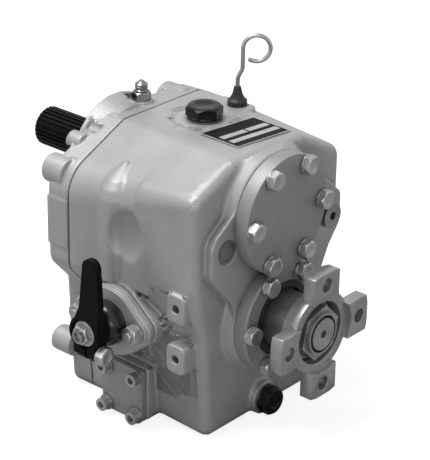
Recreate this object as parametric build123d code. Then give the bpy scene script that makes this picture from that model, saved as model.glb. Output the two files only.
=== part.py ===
from build123d import *
import math
import os

os.makedirs("parts", exist_ok=True)

# Marine reversing gearbox with two shafts, an idler and a shifted cone clutch.
# X runs aft along the shafts, Y to starboard and Z up, in millimetres.
# The origin is on the output shaft's axis, in the front face of its coupling flange.

# Driving dimensions: shafts and casing
axis_gap = 81.6
seam_x = -176.5
aft_face_x = -57.5
pad_rise = 9.0
base_z = -84.0
foot_z = -90.0
foot_length = 12.0
wall = 5.5
aft_wall = 7.0
gasket_thick = 0.5
rim_thick = 21.5
mount_boss_rise = 5.0
running_gap = 0.05
seat_gap = 0.1

# Driving dimensions: gears and clutch
forward_pinion_teeth = 20
forward_gear_teeth = 34
reverse_module = 3.0
reverse_pinion_teeth = 14
idler_teeth = 22
reverse_gear_teeth = 32
gear_width = 20.0
tooth_backlash = 0.25
shift_x = -127.6
shift_z = -1.5
shift_travel = 6.0
cone_slope = 0.25
clutch_half = 18.0
clutch_radius = 38.0
cone_radius = 36.0
groove_half = 5.0
groove_depth = 7.0
cup_radius = 44.0
cup_mouth = 14.0
cup_floor = 26.0

# Driving dimensions: shafts and bearings
input_journal = 30.0
input_bearing_od = 62.0
input_bearing_width = 16.0
output_journal = 32.0
output_bearing_od = 58.0
output_bearing_width = 17.0
pilot_journal = 25.0
pilot_bearing_od = 52.0
pilot_bearing_width = 15.0
reverse_journal = 30.0
forward_journal = 33.0
bush_wall = 3.0
bearing_back = 4.0
spline_end_x = -273.4
spline_start_x = -217.0
spline_teeth = 26
spline_od = 30.2
spline_depth = 1.5
shaft_shoulder = 1.2
idler_pin = 18.0

# Driving dimensions: output coupling
flange_thick = 10.0
flange_reach = 48.7
flange_arm = 28.0
flange_bolt_circle = 78.0
flange_hole = 10.5
register_radius = 30.0
register_depth = 4.5
nut_recess = 47.0
hub_od = 42.0
shaft_thread = 27.0
nut_flats = 36.0
nut_height = 11.0

# Driving dimensions: covers and fasteners
upper_cover_thick = 11.0
upper_bolt_land = 2.7
upper_bolt_edge = 6.3
lower_cover_thick = 9.5
lower_bolt_land = 3.5
lower_bolt_edge = 5.5
chord_gap = 0.6
bolt_size = 8.0
bolt_flats = 13.0
bolt_head = 5.3
washer_thick = 1.6
washer_od = 14.0
bolt_depth = 14.0

# Driving dimensions: shift control
stud_reach = 26.0
shift_pad_y = -77.5
shift_pad_radius = 28.0
shift_pad_ear = 11.5
shift_cover_thick = 8.0
lever_shaft = 16.0
lever_thick = 13.0
lever_blade = 5.0
lever_hub = 13.5
lever_tip = 7.2
lever_tip_place = (7.2, 53.5)
clamp_drop = 14.7
shaft_thread_end = 10.0
boot_radius = 16.8
boot_length = 13.5
crank_throw = 14.0
shift_swing = 25.0

# Driving dimensions: side cover
side_cover_width = 39.0
side_cover_height = 42.0
side_cover_z = -62.5
side_cover_face_y = -73.0
side_cover_thick = 4.5
side_screw_pitch_x = 29.5
side_screw_pitch_z = 31.5

# Driving dimensions: roof fittings
deck_z = 122.0
fitting_x = -131.0
filler_y = 18.0
dipstick_y = 54.5
breather_x = -190.0
breather_y = 15.0
breather_z = 121.5
filler_flats = 24.0
filler_thread = 22.0
plate_length = 52.0
plate_width = 38.0
plate_x = -90.0
plate_y = 15.5
plate_turn = -6.0
drain_z = -71.5

upper_bolt_circle = input_bearing_od + bolt_size + 2 * upper_bolt_land
upper_cover_radius = upper_bolt_circle / 2 + upper_bolt_edge
lower_bolt_circle = output_bearing_od + bolt_size + 2 * lower_bolt_land
lower_cover_radius = lower_bolt_circle / 2 + lower_bolt_edge
chord_z = (axis_gap ** 2 + lower_cover_radius ** 2 - upper_cover_radius ** 2) / (2 * axis_gap)
chord_z += chord_gap / 2
pad_face_x = aft_face_x + pad_rise
upper_face_x = pad_face_x + gasket_thick + upper_cover_thick
lower_face_x = pad_face_x + gasket_thick + lower_cover_thick
rim_face_x = seam_x - gasket_thick - rim_thick
mount_face_x = rim_face_x - mount_boss_rise


# Small helpers: turned pieces, holes and hexagons along a chosen axis

def along_x(x0, x1, radius, y=0.0, z=0.0):
    """Solid round bar along X between two stations."""
    plane = Plane(origin=(min(x0, x1), y, z), x_dir=(0, 1, 0), z_dir=(1, 0, 0))
    return extrude(plane * Circle(radius), amount=abs(x1 - x0))


def along_y(y0, y1, radius, x=0.0, z=0.0):
    """Solid round bar along Y between two stations."""
    plane = Plane(origin=(x, min(y0, y1), z), x_dir=(1, 0, 0), z_dir=(0, 1, 0))
    return extrude(plane * Circle(radius), amount=abs(y1 - y0))


def along_z(z0, z1, radius, x=0.0, y=0.0):
    """Solid round bar along Z between two heights."""
    return extrude(Plane.XY.offset(min(z0, z1)) * Pos(x, y) * Circle(radius), amount=abs(z1 - z0))


def section_x(x):
    """Plane across the shafts at one station, with local axes Y and Z."""
    return Plane(origin=(x, 0, 0), x_dir=(0, 1, 0), z_dir=(1, 0, 0))


def side_plane(y):
    """Plane of the port side: local axes X and Z, pointing outboard to port."""
    return Plane(origin=(0, y, 0), x_dir=(1, 0, 0), z_dir=(0, -1, 0))


def inset_corners(corners, inset):
    """Corner list of an outline walked clockwise, moved inwards by the inset, with radii to suit."""
    moved = []
    count = len(corners)
    for index, (y, z, r) in enumerate(corners):
        y0, z0, _ = corners[index - 1]
        y1, z1, _ = corners[(index + 1) % count]
        into = Vector(y - y0, z - z0).normalized()
        away = Vector(y1 - y, z1 - z).normalized()
        turn = into.X * away.Y - into.Y * away.X
        reach = inset * math.tan(math.acos(min(1.0, into.dot(away))) / 2)
        reach = reach if turn < 0 else -reach
        inward = Vector(into.Y, -into.X)
        radius = r - inset if turn < 0 else r + inset
        moved.append(
            (y + inward.X * inset - into.X * reach, z + inward.Y * inset - into.Y * reach, max(radius, 1.0))
        )
    return moved


def rounded_outline(corners, inset=0.0):
    """Closed face through corner points, each with its own radius, moved inwards by the inset."""
    corners = inset_corners(corners, inset) if inset else corners
    face = make_face(Polyline([(y, z) for y, z, r in corners], close=True))
    for y, z, r in corners:
        near = face.vertices().sort_by_distance((y, z, 0))[0]
        face = fillet(near, r)
    return face


def hexagon_x(x0, x1, flats, y, z, turn=0.0):
    """Hexagonal bar along X."""
    sketch = Pos(y, z) * Rot(0, 0, turn) * RegularPolygon(flats / 2, 6, major_radius=False)
    return extrude(section_x(min(x0, x1)) * sketch, amount=abs(x1 - x0))


def hex_bolt_x(seat_x, y, z, turn=0.0, depth=bolt_depth):
    """Hex bolt with a washer, entering its seat towards minus X."""
    washer = along_x(seat_x + 0.02, seat_x + washer_thick, washer_od / 2, y, z)
    washer -= along_x(seat_x, seat_x + washer_thick, bolt_size / 2 + 0.2, y, z)
    base = seat_x + washer_thick + 0.02
    head = hexagon_x(base, base + bolt_head, bolt_flats, y, z, turn)
    return washer, head + along_x(seat_x - depth, base, bolt_size / 2, y, z)


def socket_screw_y(seat_y, x, z, size=6.0, depth=12.0):
    """Cap screw with a hexagon socket and a washer, entering its seat towards plus Y."""
    washer = along_y(seat_y - 0.02, seat_y - 1.2, size + 0.2, x, z)
    washer -= along_y(seat_y, seat_y - 1.2, size / 2 + 0.2, x, z)
    base = seat_y - 1.22
    head = along_y(base, base - size, size * 0.83, x, z)
    plane = side_plane(base - size * 0.4)
    head -= extrude(plane * Pos(x, z) * RegularPolygon(size * 0.42, 6, major_radius=False), amount=size)
    return washer, head + along_y(base, seat_y + depth, size / 2, x, z)


def ring_x(x0, x1, outer, inner, y=0.0, z=0.0):
    """Plain ring along X."""
    return along_x(x0, x1, outer, y, z) - along_x(x0, x1, inner, y, z)


def save(name, *solids):
    """Write one node, made of one or more separate solids."""
    shape = solids[0] if len(solids) == 1 else Compound(children=list(solids))
    export_step(shape, f"parts/{name}.step")


# Gear geometry: an involute tooth form and the angles that bring two gears into mesh

def involute_gear(teeth, module, x0, x1, y, z, first_tooth, bore):
    """Spur gear along X whose first tooth points at the given angle from Y towards Z."""
    pitch = module * teeth / 2
    root = pitch - 1.25 * module
    tip = pitch + module
    base = pitch * math.cos(math.radians(20))
    flat = math.tan(math.radians(20)) - math.radians(20)
    half_tooth = math.pi / (2 * teeth) - tooth_backlash / (2 * pitch)

    def half_angle(radius):
        roll = math.acos(min(1.0, base / radius))
        return half_tooth + flat - (math.tan(roll) - roll)

    radii = [root, max(base, root + 0.3 * module), pitch, (pitch + tip) / 2, tip]
    step = 2 * math.pi / teeth
    points = []
    for tooth in range(teeth):
        middle = math.radians(first_tooth) + tooth * step
        flank = [(r, half_angle(r)) for r in radii]
        points += [(r * math.cos(middle - a), r * math.sin(middle - a)) for r, a in flank]
        points += [(r * math.cos(middle + a), r * math.sin(middle + a)) for r, a in reversed(flank)]
    profile = make_face(Polyline(points, close=True))
    gear = extrude(section_x(x0) * Pos(y, z) * profile, amount=x1 - x0)
    return gear - along_x(x0, x1, bore, y, z)


def direction(a, b):
    """Angle in degrees from one axis towards another, each given as Y and Z."""
    return math.degrees(math.atan2(b[1] - a[1], b[0] - a[0]))


def meshed_angle(angle_a, teeth_a, teeth_b, towards_b):
    """First-tooth angle of gear B that fills the gaps of gear A, which has B at the given angle."""
    phase_a = (towards_b - angle_a) * teeth_a / 360
    return towards_b + 180 - (0.5 - phase_a) * 360 / teeth_b


# Positions of the three shafts
output_axis = (0.0, 0.0)
input_axis = (0.0, axis_gap)
pinion_to_idler = reverse_module * (reverse_pinion_teeth + idler_teeth) / 2
idler_to_gear = reverse_module * (idler_teeth + reverse_gear_teeth) / 2
idler_z = (idler_to_gear ** 2 - pinion_to_idler ** 2 + axis_gap ** 2) / (2 * axis_gap)
idler_y = math.sqrt(idler_to_gear ** 2 - idler_z ** 2)
idler_axis = (idler_y, idler_z)
forward_module = 2 * axis_gap / (forward_pinion_teeth + forward_gear_teeth)
reverse_x = (shift_x - cup_floor - gear_width, shift_x - cup_floor)
forward_x = (shift_x + cup_floor, shift_x + cup_floor + gear_width)

# Bearing stations, from the casing faces
input_aft_x = (pad_face_x - 3.5 - input_bearing_width, pad_face_x - 3.5)
output_aft_x = (pad_face_x - 3.5 - output_bearing_width, pad_face_x - 3.5)
input_front_x = (seam_x - 1.0 - input_bearing_width, seam_x - 1.0)
output_front_x = (seam_x - 1.0 - pilot_bearing_width, seam_x - 1.0)

# Outlines across the shafts, as corner points with their radii, port first
seam_outline = [
    (-53.5, base_z, 8), (-58.5, 1, 6), (-76.5, 21, 14), (-76.5, 93, 28), (-18, 119.5, 12),
    (64, 118.5, 12), (95.5, 103, 12), (95.5, 24, 14), (59.5, -2, 6), (53.5, base_z, 8),
]
rim_outline = [(y, foot_z if z == base_z else z, r) for y, z, r in seam_outline]
aft_outline = [
    (-59, base_z, 8), (-65.5, 0, 10), (-75, 38, 20), (-75, 108, 9), (-33, 126, 14),
    (42, 123, 14), (86, 100, 12), (86, 34, 20), (68, -2, 10), (59, base_z, 8),
]
pad_outline = [
    (-30, 103, 6), (-63, 80.5, 5), (-67, 73, 5), (-67, 50, 6), (-43, 22, 8), (-40, -8, 4),
    (40, -8, 4), (52, 16, 10), (76, 46, 7), (76, 71, 7), (58, 87, 8), (30, 103, 6),
]
case_bolt_places = [
    (-45.5, -75), (45.5, -75), (-47.5, -44), (47.5, -44), (-67, 42), (-68, 72), (84, 30),
    (86, 94), (-50, 96), (36, 110),
]


def casting_loft(inset, x0, x1, nose=0.0):
    """Ruled body between the seam outline and the aft outline, with a rounded nose at the aft end."""
    sections = [section_x(x0) * rounded_outline(seam_outline, inset)]
    steps = (0, 30, 60, 90) if nose else (90,)
    for angle in steps:
        rise = math.radians(angle)
        station = x1 - nose + nose * math.sin(rise)
        shrink = nose * (1 - math.cos(rise))
        sections.append(section_x(station) * rounded_outline(aft_outline, inset + shrink))
    return loft(sections, ruled=True)


# Main housing: one deep casting with the aft bearing bores, the clutch pads and the deck

def shift_flange_sketch(radius, ear):
    """Rhombic flange: a large middle circle with an ear at each stud."""
    shape = Circle(radius)
    for side in (-1, 1):
        reach = math.acos((radius - ear) / stud_reach)
        cosine, sine = math.cos(reach), math.sin(reach)
        hull = Polyline(
            [
                (side * radius * cosine, radius * sine),
                (side * (stud_reach + ear * cosine), ear * sine),
                (side * (stud_reach + ear * cosine), -ear * sine),
                (side * radius * cosine, -radius * sine),
            ],
            close=True,
        )
        shape += make_face(hull)
        shape += Pos(side * stud_reach, 0) * Circle(ear)
    return shape


def housing_outside():
    """Outer skin of the main housing with its raised pads and bosses."""
    body = casting_loft(0, seam_x, aft_face_x, corner_round)
    foot = extrude(section_x(seam_x) * rounded_outline(rim_outline), amount=foot_length)
    body += foot & Pos(seam_x, 0, foot_z) * Box(3 * foot_length, 200, 4 * (base_z - foot_z))
    pad = loft(
        [
            section_x(aft_face_x - 1) * rounded_outline(pad_outline, -pad_slope),
            section_x(pad_face_x) * rounded_outline(pad_outline),
        ],
        ruled=True,
    )
    body += pad
    for axis, radius in ((input_axis, upper_cover_radius), (output_axis, lower_cover_radius)):
        cheek = Location((aft_face_x - 1, *axis), (0, 90, 0)) * Cone(
            radius + pad_slope, radius, pad_rise + 1, align=(Align.CENTER, Align.CENTER, Align.MIN)
        )
        body += cheek & Pos(aft_face_x, 0, 0) * Box(60, 4 * radius, 2 * (axis_gap + upper_cover_radius))
    body += along_x(aft_face_x, bore_boss_x, bore_boss_radius, *idler_axis)
    body += along_x(aft_face_x - 3, aft_face_x + 5, 13, 0, drain_z)
    shift_shape = shift_flange_sketch(shift_pad_radius, shift_pad_ear)
    shift_pad = side_plane(pad_root_y) * Pos(shift_x, shift_z) * shift_shape
    body += extrude(shift_pad, amount=pad_root_y - shift_pad_y)
    pad_sketch = RectangleRounded(side_cover_width + 2, 2 * (side_cover_z - base_z), 3)
    side_pad = side_plane(pad_root_y) * Pos(shift_x, side_cover_z) * pad_sketch
    body += extrude(side_pad, amount=pad_root_y - side_seat_y)
    for hole_z in bracket_hole_z:
        boss = side_plane(pad_root_y) * Pos(bracket_x, hole_z) * RectangleRounded(17, 22, 4)
        body += extrude(boss, amount=pad_root_y - bracket_face_y)
    body += along_z(rib_foot_z, rib_top_z, rib_radius, rib_x, rib_y) & rib_reach() & rib_slant()
    body += deck()
    return body - rib_scoop()


corner_round = 7.0
pad_slope = 4.0
pad_root_y = -50.0
bore_boss_radius = pinion_to_idler - upper_cover_radius - 0.4
bore_boss_x = upper_face_x - 3.5
bore_plug_radius = bore_boss_radius - 1.6
rib_x = -127.0
rib_y = -70.0
rib_radius = 12.0
rib_foot_z = shift_z + shift_pad_radius + 1
rib_top_z = 112.0
rib_fall = 32.0
scoop_place = (-114.0, 46.0)
scoop_width = 24.0
scoop_height = 40.0
scoop_depth = 3.0
bracket_x = -72.0
bracket_face_y = -78.0
bracket_hole_z = (24.2, -15.4)
bracket_thread = 6.6
deck_aft_x = -117.0
deck_front_x = -151.0
deck_end_y = dipstick_y + 7.5


def outline_corner(index, x):
    """Corner of the ruled casting at a station between the seam and the aft face."""
    share = (x - seam_x) / (aft_face_x - corner_round - seam_x)
    near, far = seam_outline[index], aft_outline[index]
    return [near[k] + share * (far[k] - near[k]) for k in (0, 1)]


def rib_reach():
    """Space below the plane of the port shoulder, which cuts the top of the upright rib aslant."""
    low_y, low_z = outline_corner(3, rib_x)
    high_y, high_z = outline_corner(4, rib_x)
    slope = (high_z - low_z) / (high_y - low_y)
    left = rib_y - 2 * rib_radius
    right = rib_y + 2 * rib_radius
    wedge = make_face(
        Polyline(
            [
                (left, rib_foot_z - 20), (right, rib_foot_z - 20),
                (right, low_z + slope * (right - low_y)), (left, low_z + slope * (left - low_y)),
            ],
            close=True,
        )
    )
    return extrude(section_x(rib_x - 2 * rib_radius) * wedge, amount=4 * rib_radius)


def rib_slant():
    """Space below the slanting top of the upright rib, highest at its aft edge."""
    front, aft = rib_x - 2 * rib_radius, rib_x + 2 * rib_radius
    wedge = make_face(
        Polyline(
            [
                (front, rib_foot_z - 20), (aft, rib_foot_z - 20), (aft, rib_top_z),
                (rib_x + rib_radius, rib_top_z),
                (front, rib_top_z - 1.5 * rib_fall),
            ],
            close=True,
        )
    )
    return extrude(side_plane(rib_y - 2 * rib_radius) * wedge, amount=-4 * rib_radius)


def rib_scoop():
    """Shallow lens-shaped hollow in the port wall, aft of the rib, for a spanner on the stud nut."""
    across = (scoop_width ** 2 / 4 + scoop_depth ** 2) / (2 * scoop_depth)
    rim = across - scoop_depth
    half = scoop_height / 2
    outline = Line((0, -half), (rim, -half)) + ThreePointArc((rim, -half), (across, 0), (rim, half))
    outline += Line((rim, half), (0, half)) + Line((0, half), (0, -half))
    x, z = scoop_place
    wall_y = seam_outline[2][0]
    barrel = revolve(Plane.XZ * make_face(outline), Axis.Z)
    return Pos(x, wall_y - rim + 1, z) * barrel


def deck():
    """Level deck on the roof for the filler plug and the dipstick."""
    low = deck_z - 9
    block = Plane.XY.offset(low) * Pos((deck_aft_x + deck_front_x) / 2, (filler_y + deck_end_y) / 2)
    body = extrude(
        block * RectangleRounded(deck_aft_x - deck_front_x, deck_end_y - filler_y, 5), amount=deck_z - low
    )
    return body + along_z(low, deck_z, 17, fitting_x, filler_y)


def housing_inside():
    """Hollow of the main housing, open at the seam."""
    return casting_loft(wall, seam_x - 0.01, aft_face_x - aft_wall)


def bearing_carrier(x0, x1, bore_od, axis):
    """Inward boss that carries an outer ring, and the bore that opens aft with a back lip."""
    y, z = axis
    boss = along_x(x0 - bearing_back, aft_face_x, bore_od / 2 + 7, y, z)
    bore = along_x(x0, pad_face_x + 0.01, bore_od / 2 + 0.02, y, z)
    bore += along_x(x0 - bearing_back - 1, x0, bore_od / 2 - 5, y, z)
    return boss, bore


def case_bolt_bosses(x0, x1, radius=8.0):
    """Bosses inside the wall for the screws that hold the two castings together."""
    return [along_x(x0, x1, radius, y, z) for y, z in case_bolt_places]


def bolt_ring(circle, count, axis, turn=0.0):
    """Places on a bolt circle as Y and Z."""
    places = []
    for index in range(count):
        angle = math.radians(turn + index * 360 / count)
        places.append((axis[0] + circle / 2 * math.cos(angle), axis[1] + circle / 2 * math.sin(angle)))
    return places


upper_bolts = bolt_ring(upper_bolt_circle, 6, input_axis)
lower_bolts = bolt_ring(lower_bolt_circle, 6, output_axis)


def main_housing():
    outside = housing_outside()
    body = outside - housing_inside()
    envelope = casting_loft(0.5, seam_x, aft_face_x)
    for boss in case_bolt_bosses(seam_x, seam_x + 15):
        body += boss & envelope
    upper_boss, upper_bore = bearing_carrier(*input_aft_x, input_bearing_od, input_axis)
    lower_boss, lower_bore = bearing_carrier(*output_aft_x, output_bearing_od, output_axis)
    sump_boss = along_x(aft_face_x - 14, aft_face_x, 11, 0, drain_z)
    body += upper_boss + lower_boss + sump_boss
    body -= upper_bore + lower_bore
    body -= along_x(aft_face_x - 10, upper_face_x, bore_plug_radius + 0.02, *idler_axis)
    body -= along_x(aft_face_x - 20, aft_face_x + 6, 7.05, 0, drain_z)
    body -= along_x(pad_face_x - 3, pad_face_x, core_plug_radius + 0.02, *core_plug_place)
    for y, z in upper_bolts + lower_bolts:
        body -= along_x(pad_face_x - bolt_depth - 1, pad_face_x, bolt_size / 2 + 0.02, y, z)
    for y, z in case_bolt_places:
        body -= along_x(seam_x, seam_x + bolt_depth - 1, 3.02, y, z)
    body -= along_y(shift_pad_y, -50, lever_shaft / 2 + 4, shift_x, shift_z)
    for side in (-1, 1):
        stud_x = shift_x + side * stud_reach
        body -= along_y(shift_pad_y, shift_pad_y + 13, bolt_size / 2 + 0.02, stud_x, shift_z)
    body -= Pos(shift_x, -58, side_cover_z) * Box(side_cover_width - 20, 30, side_cover_height - 20)
    for x, z in side_screw_places:
        body -= along_y(side_seat_y, side_seat_y + 13, 3.02, x, z)
    for hole_z in bracket_hole_z:
        body -= along_y(bracket_face_y, bracket_face_y + 12, bracket_thread / 2, bracket_x, hole_z)
    body -= along_z(deck_z - 20, deck_z, filler_thread / 2 + 0.05, fitting_x, filler_y)
    body -= along_z(deck_z - 20, deck_z, stopper_neck + 0.1, fitting_x, dipstick_y)
    return body


core_plug_radius = 8.5
core_plug_turn = math.radians(196.6)
core_plug_place = (
    (upper_cover_radius + core_plug_radius + 0.3) * math.cos(core_plug_turn),
    axis_gap + (upper_cover_radius + core_plug_radius + 0.3) * math.sin(core_plug_turn),
)
side_seat_y = side_cover_face_y + side_cover_thick + gasket_thick
side_screw_places = [
    (shift_x + sx * side_screw_pitch_x / 2, side_cover_z - 0.5 + sz * side_screw_pitch_z / 2)
    for sx in (-1, 1)
    for sz in (-1, 1)
]
stopper_neck = 6.0

# Input cover: the engine-side casting with its mounting lugs and front bearing pockets
mount_lugs = [
    (-65.0, 89.0, 11.0, 15.0), (56.0, 108.0, 12.0, 17.0),
    (-60.0, -52.0, 10.0, 14.0), (60.0, -52.0, 10.0, 14.0),
]
mount_hole = 10.2
pocket_places = [(-33.0, 114.0), (11.0, 122.5)]
pilot_radius = input_bearing_od / 2 + 10.0
pilot_rise = 3.0


def input_cover():
    rim = section_x(rim_face_x) * rounded_outline(rim_outline)
    body = extrude(rim, amount=rim_thick)
    front_edges = body.faces().sort_by(Axis.X)[0].outer_wire().edges()
    body = fillet(front_edges, 5)
    top = Location((mount_face_x, 0, axis_gap), (0, 90, 0)) * Cone(
        input_bearing_od / 2 + 14.5, input_bearing_od / 2 + 9, rim_thick - 3,
        align=(Align.CENTER, Align.CENTER, Align.MIN),
    )
    body += top
    body += along_x(mount_face_x, rim_face_x + 2, 36, 0, 0)
    inner = section_x(rim_face_x + 7) * rounded_outline(rim_outline, wall + 1)
    body -= extrude(inner, amount=rim_thick)
    for place in case_bolt_places:
        body += along_x(rim_face_x + 5, seam_x - gasket_thick, 8, *place) & extrude(rim, amount=rim_thick)
    for y, z, radius, depth in mount_lugs:
        body += along_x(mount_face_x, mount_face_x + depth + 4, radius, y, z)
    body += along_x(mount_face_x, rim_face_x + 8, 7, -44, 104)
    body += along_x(mount_face_x, reverse_x[0] - 1, idler_pin / 2 + 7, *idler_axis)
    front, back = input_front_x
    body += along_x(mount_face_x, back, input_bearing_od / 2 + 6, 0, axis_gap)
    body += along_x(rim_face_x, output_front_x[1], pilot_bearing_od / 2 + 6, 0, 0)
    body += ring_x(mount_face_x - pilot_rise, mount_face_x + 1, pilot_radius, pilot_radius - 7, 0, axis_gap)
    body -= along_x(front, back + 2, input_bearing_od / 2 + 0.02, 0, axis_gap)
    body -= along_x(mount_face_x - 6, front + 1, input_seal_od / 2 + 0.02, 0, axis_gap)
    body -= along_x(output_front_x[0], back + 2, pilot_bearing_od / 2 + 0.02, 0, 0)
    for y, z, radius, depth in mount_lugs:
        body -= along_x(mount_face_x - 1, mount_face_x + depth, mount_hole / 2, y, z)
    for y, z in pocket_places:
        body -= along_x(mount_face_x + 3.5, rim_face_x + 12, 5, y, z)
    body -= along_x(mount_face_x + 4, reverse_x[0], idler_pin / 2 + 0.02, *idler_axis)
    for place in case_bolt_places:
        body -= along_x(mount_face_x - 4, seam_x, 3.3, *place)
        body -= along_x(mount_face_x - 4, rim_face_x + 8, 5.6, *place)
    body += along_z(breather_z - 8.5, breather_z, 8.5, breather_x, breather_y)
    body -= along_z(breather_z, breather_z + 12, 9, breather_x, breather_y)
    body -= along_z(breather_z - 6, breather_z, 5.05, breather_x, breather_y)
    return body


input_seal_od = 47.0


def casing_gasket():
    ring = rounded_outline(rim_outline) - rounded_outline(rim_outline, wall)
    sheet = extrude(section_x(seam_x - gasket_thick) * ring, amount=gasket_thick)
    rim_face = section_x(seam_x - gasket_thick) * rounded_outline(rim_outline, 0.5)
    full = extrude(rim_face, amount=gasket_thick)
    for place in case_bolt_places:
        sheet += along_x(seam_x - gasket_thick, seam_x, 8, *place) & full
    for place in case_bolt_places:
        sheet -= along_x(seam_x - gasket_thick, seam_x, 3.3, *place)
    return sheet


def case_screws():
    """Cap screws, entered from the engine side and sunk in the input cover."""
    screws = []
    seat = rim_face_x + 8
    for y, z in case_bolt_places:
        head = along_x(seat - 6, seat - 0.02, 5.0, y, z)
        head -= hexagon_x(seat - 7, seat - 3, 5, y, z)
        screws.append(head + along_x(seat - 0.1, seam_x + bolt_depth - 3, 3.0, y, z))
    return screws


# Aft covers with their gaskets and bolts

def upper_cover():
    disc = along_x(pad_face_x + gasket_thick, upper_face_x, upper_cover_radius, 0, axis_gap)
    disc = chamfer(disc.edges().sort_by(Axis.X)[-1], 0.8)
    low = axis_gap - upper_cover_radius
    disc -= Pos(pad_face_x, 0, low) * Box(60, 120, 2 * (chord_z - low))
    spigot_end_x = pad_face_x + gasket_thick
    spigot = along_x(input_aft_x[1] + 0.1, spigot_end_x, input_bearing_od / 2 - 0.1, 0, axis_gap)
    spigot -= along_x(input_aft_x[1], pad_face_x, input_bearing_od / 2 - 5, 0, axis_gap)
    disc += spigot
    for y, z in upper_bolts:
        disc -= along_x(pad_face_x - 1, upper_face_x, bolt_size / 2 + 0.25, y, z)
    return disc


def upper_gasket():
    end_x = pad_face_x + gasket_thick
    ring = ring_x(pad_face_x, end_x, upper_cover_radius, input_bearing_od / 2, 0, axis_gap)
    low = axis_gap - upper_cover_radius
    ring -= Pos(pad_face_x, 0, low) * Box(60, 120, 2 * (chord_z - low))
    for y, z in upper_bolts:
        ring -= along_x(pad_face_x, pad_face_x + gasket_thick, bolt_size / 2 + 0.25, y, z)
    return ring


output_seal_od = 56.0


def lower_cover():
    disc = along_x(pad_face_x + gasket_thick, lower_face_x, lower_cover_radius)
    disc = chamfer(disc.edges().sort_by(Axis.X)[-1], 0.8)
    disc += along_x(output_aft_x[1] + 0.1, pad_face_x + gasket_thick, output_bearing_od / 2 - 0.1)
    disc -= along_x(lower_face_x - 7.5, lower_face_x, output_seal_od / 2 + 0.02)
    disc -= along_x(output_aft_x[1], lower_face_x, hub_od / 2 + 1.5)
    high = 2 * lower_cover_radius
    disc -= Pos(pad_face_x, 0, high) * Box(60, 120, 2 * (high - chord_z + chord_gap))
    for y, z in lower_bolts:
        disc -= along_x(pad_face_x - 1, lower_face_x, bolt_size / 2 + 0.25, y, z)
    return disc


def lower_gasket():
    ring = ring_x(pad_face_x, pad_face_x + gasket_thick, lower_cover_radius, output_bearing_od / 2)
    high = 2 * lower_cover_radius
    ring -= Pos(pad_face_x, 0, high) * Box(60, 120, 2 * (high - chord_z + chord_gap))
    for y, z in lower_bolts:
        ring -= along_x(pad_face_x, pad_face_x + gasket_thick, bolt_size / 2 + 0.25, y, z)
    return ring


def lip_seal(x0, x1, outer, shaft, axis):
    """Oil seal: a pressed case with a lip that runs on the shaft."""
    y, z = axis
    seal = ring_x(x0, x1, outer, shaft + 2.5, y, z)
    middle = (x0 + x1) / 2
    return seal + ring_x(middle - 0.8, middle + 0.8, shaft + 3, shaft + running_gap, y, z)


# Roller bearings: an outer ring in the casing, an inner ring with its rollers on the shaft

def bearing_outer(x0, x1, outer, inner, axis):
    return ring_x(x0, x1, outer / 2, outer / 2 - (outer - inner) / 8, *axis)


def bearing_inner(x0, x1, outer, inner, axis, rollers=9):
    """Inner ring with cylindrical rollers held by a thin cage."""
    y, z = axis
    roller = (outer - inner) / 8 + running_gap
    middle = (outer + inner) / 4 - 3 * running_gap
    body = ring_x(x0, x1, inner / 2 + (outer - inner) / 8, inner / 2 + 0.02, y, z)
    for place in bolt_ring(2 * middle, rollers, axis):
        body += along_x(x0 + 3, x1 - 3, roller, *place)
    return body + ring_x(x0 + 5, x1 - 5, middle + 0.8, middle - 0.8, y, z)


# Input shaft with its two pinions

def splined_bar(x0, x1, teeth, outer, depth, y, z):
    """Bar with straight-sided teeth all round, as a clutch plate's hub takes."""
    points = []
    step = 360 / teeth
    for tooth in range(teeth):
        for share, radius in ((-0.34, -depth), (-0.16, 0), (0.16, 0), (0.34, -depth)):
            angle = math.radians((tooth + share) * step)
            points.append(((outer / 2 + radius) * math.cos(angle), (outer / 2 + radius) * math.sin(angle)))
    profile = make_face(Polyline(points, close=True))
    return extrude(section_x(x0) * Pos(y, z) * profile, amount=x1 - x0)


def input_shaft():
    body = splined_bar(spline_end_x, spline_start_x, spline_teeth, spline_od, spline_depth, 0, axis_gap)
    tip = Location((spline_end_x, 0, axis_gap), (0, 90, 0)) * Cone(
        spline_od / 2 - 1.2, spline_od / 2 + 38.8, 40, align=(Align.CENTER, Align.CENTER, Align.MIN)
    )
    body &= tip + along_x(spline_end_x + 20, 0, 40, 0, axis_gap)
    body += along_x(spline_start_x, input_aft_x[1] - 1, input_journal / 2, 0, axis_gap)
    body += along_x(input_front_x[1], input_aft_x[0], gear_seat, 0, axis_gap)
    body -= along_x(spline_end_x, spline_end_x + 8, 3, 0, axis_gap)
    return body + reverse_pinion()


forward_pinion_angle = 90.0
forward_gear_angle = meshed_angle(
    forward_pinion_angle, forward_pinion_teeth, forward_gear_teeth, direction(input_axis, output_axis)
)
reverse_pinion_angle = direction(input_axis, idler_axis)
idler_angle = meshed_angle(
    reverse_pinion_angle, reverse_pinion_teeth, idler_teeth, direction(input_axis, idler_axis)
)
reverse_gear_angle = meshed_angle(
    idler_angle, idler_teeth, reverse_gear_teeth, direction(idler_axis, output_axis)
)
gear_seat = input_journal / 2 + shaft_shoulder


def forward_pinion():
    return involute_gear(
        forward_pinion_teeth, forward_module, *forward_x, *input_axis, forward_pinion_angle,
        gear_seat + 0.02,
    )


def reverse_pinion():
    """Teeth cut on the input shaft itself, because the root is close to the shaft's size."""
    return involute_gear(
        reverse_pinion_teeth, reverse_module, *reverse_x, *input_axis, reverse_pinion_angle, gear_seat - 1
    )


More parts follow.
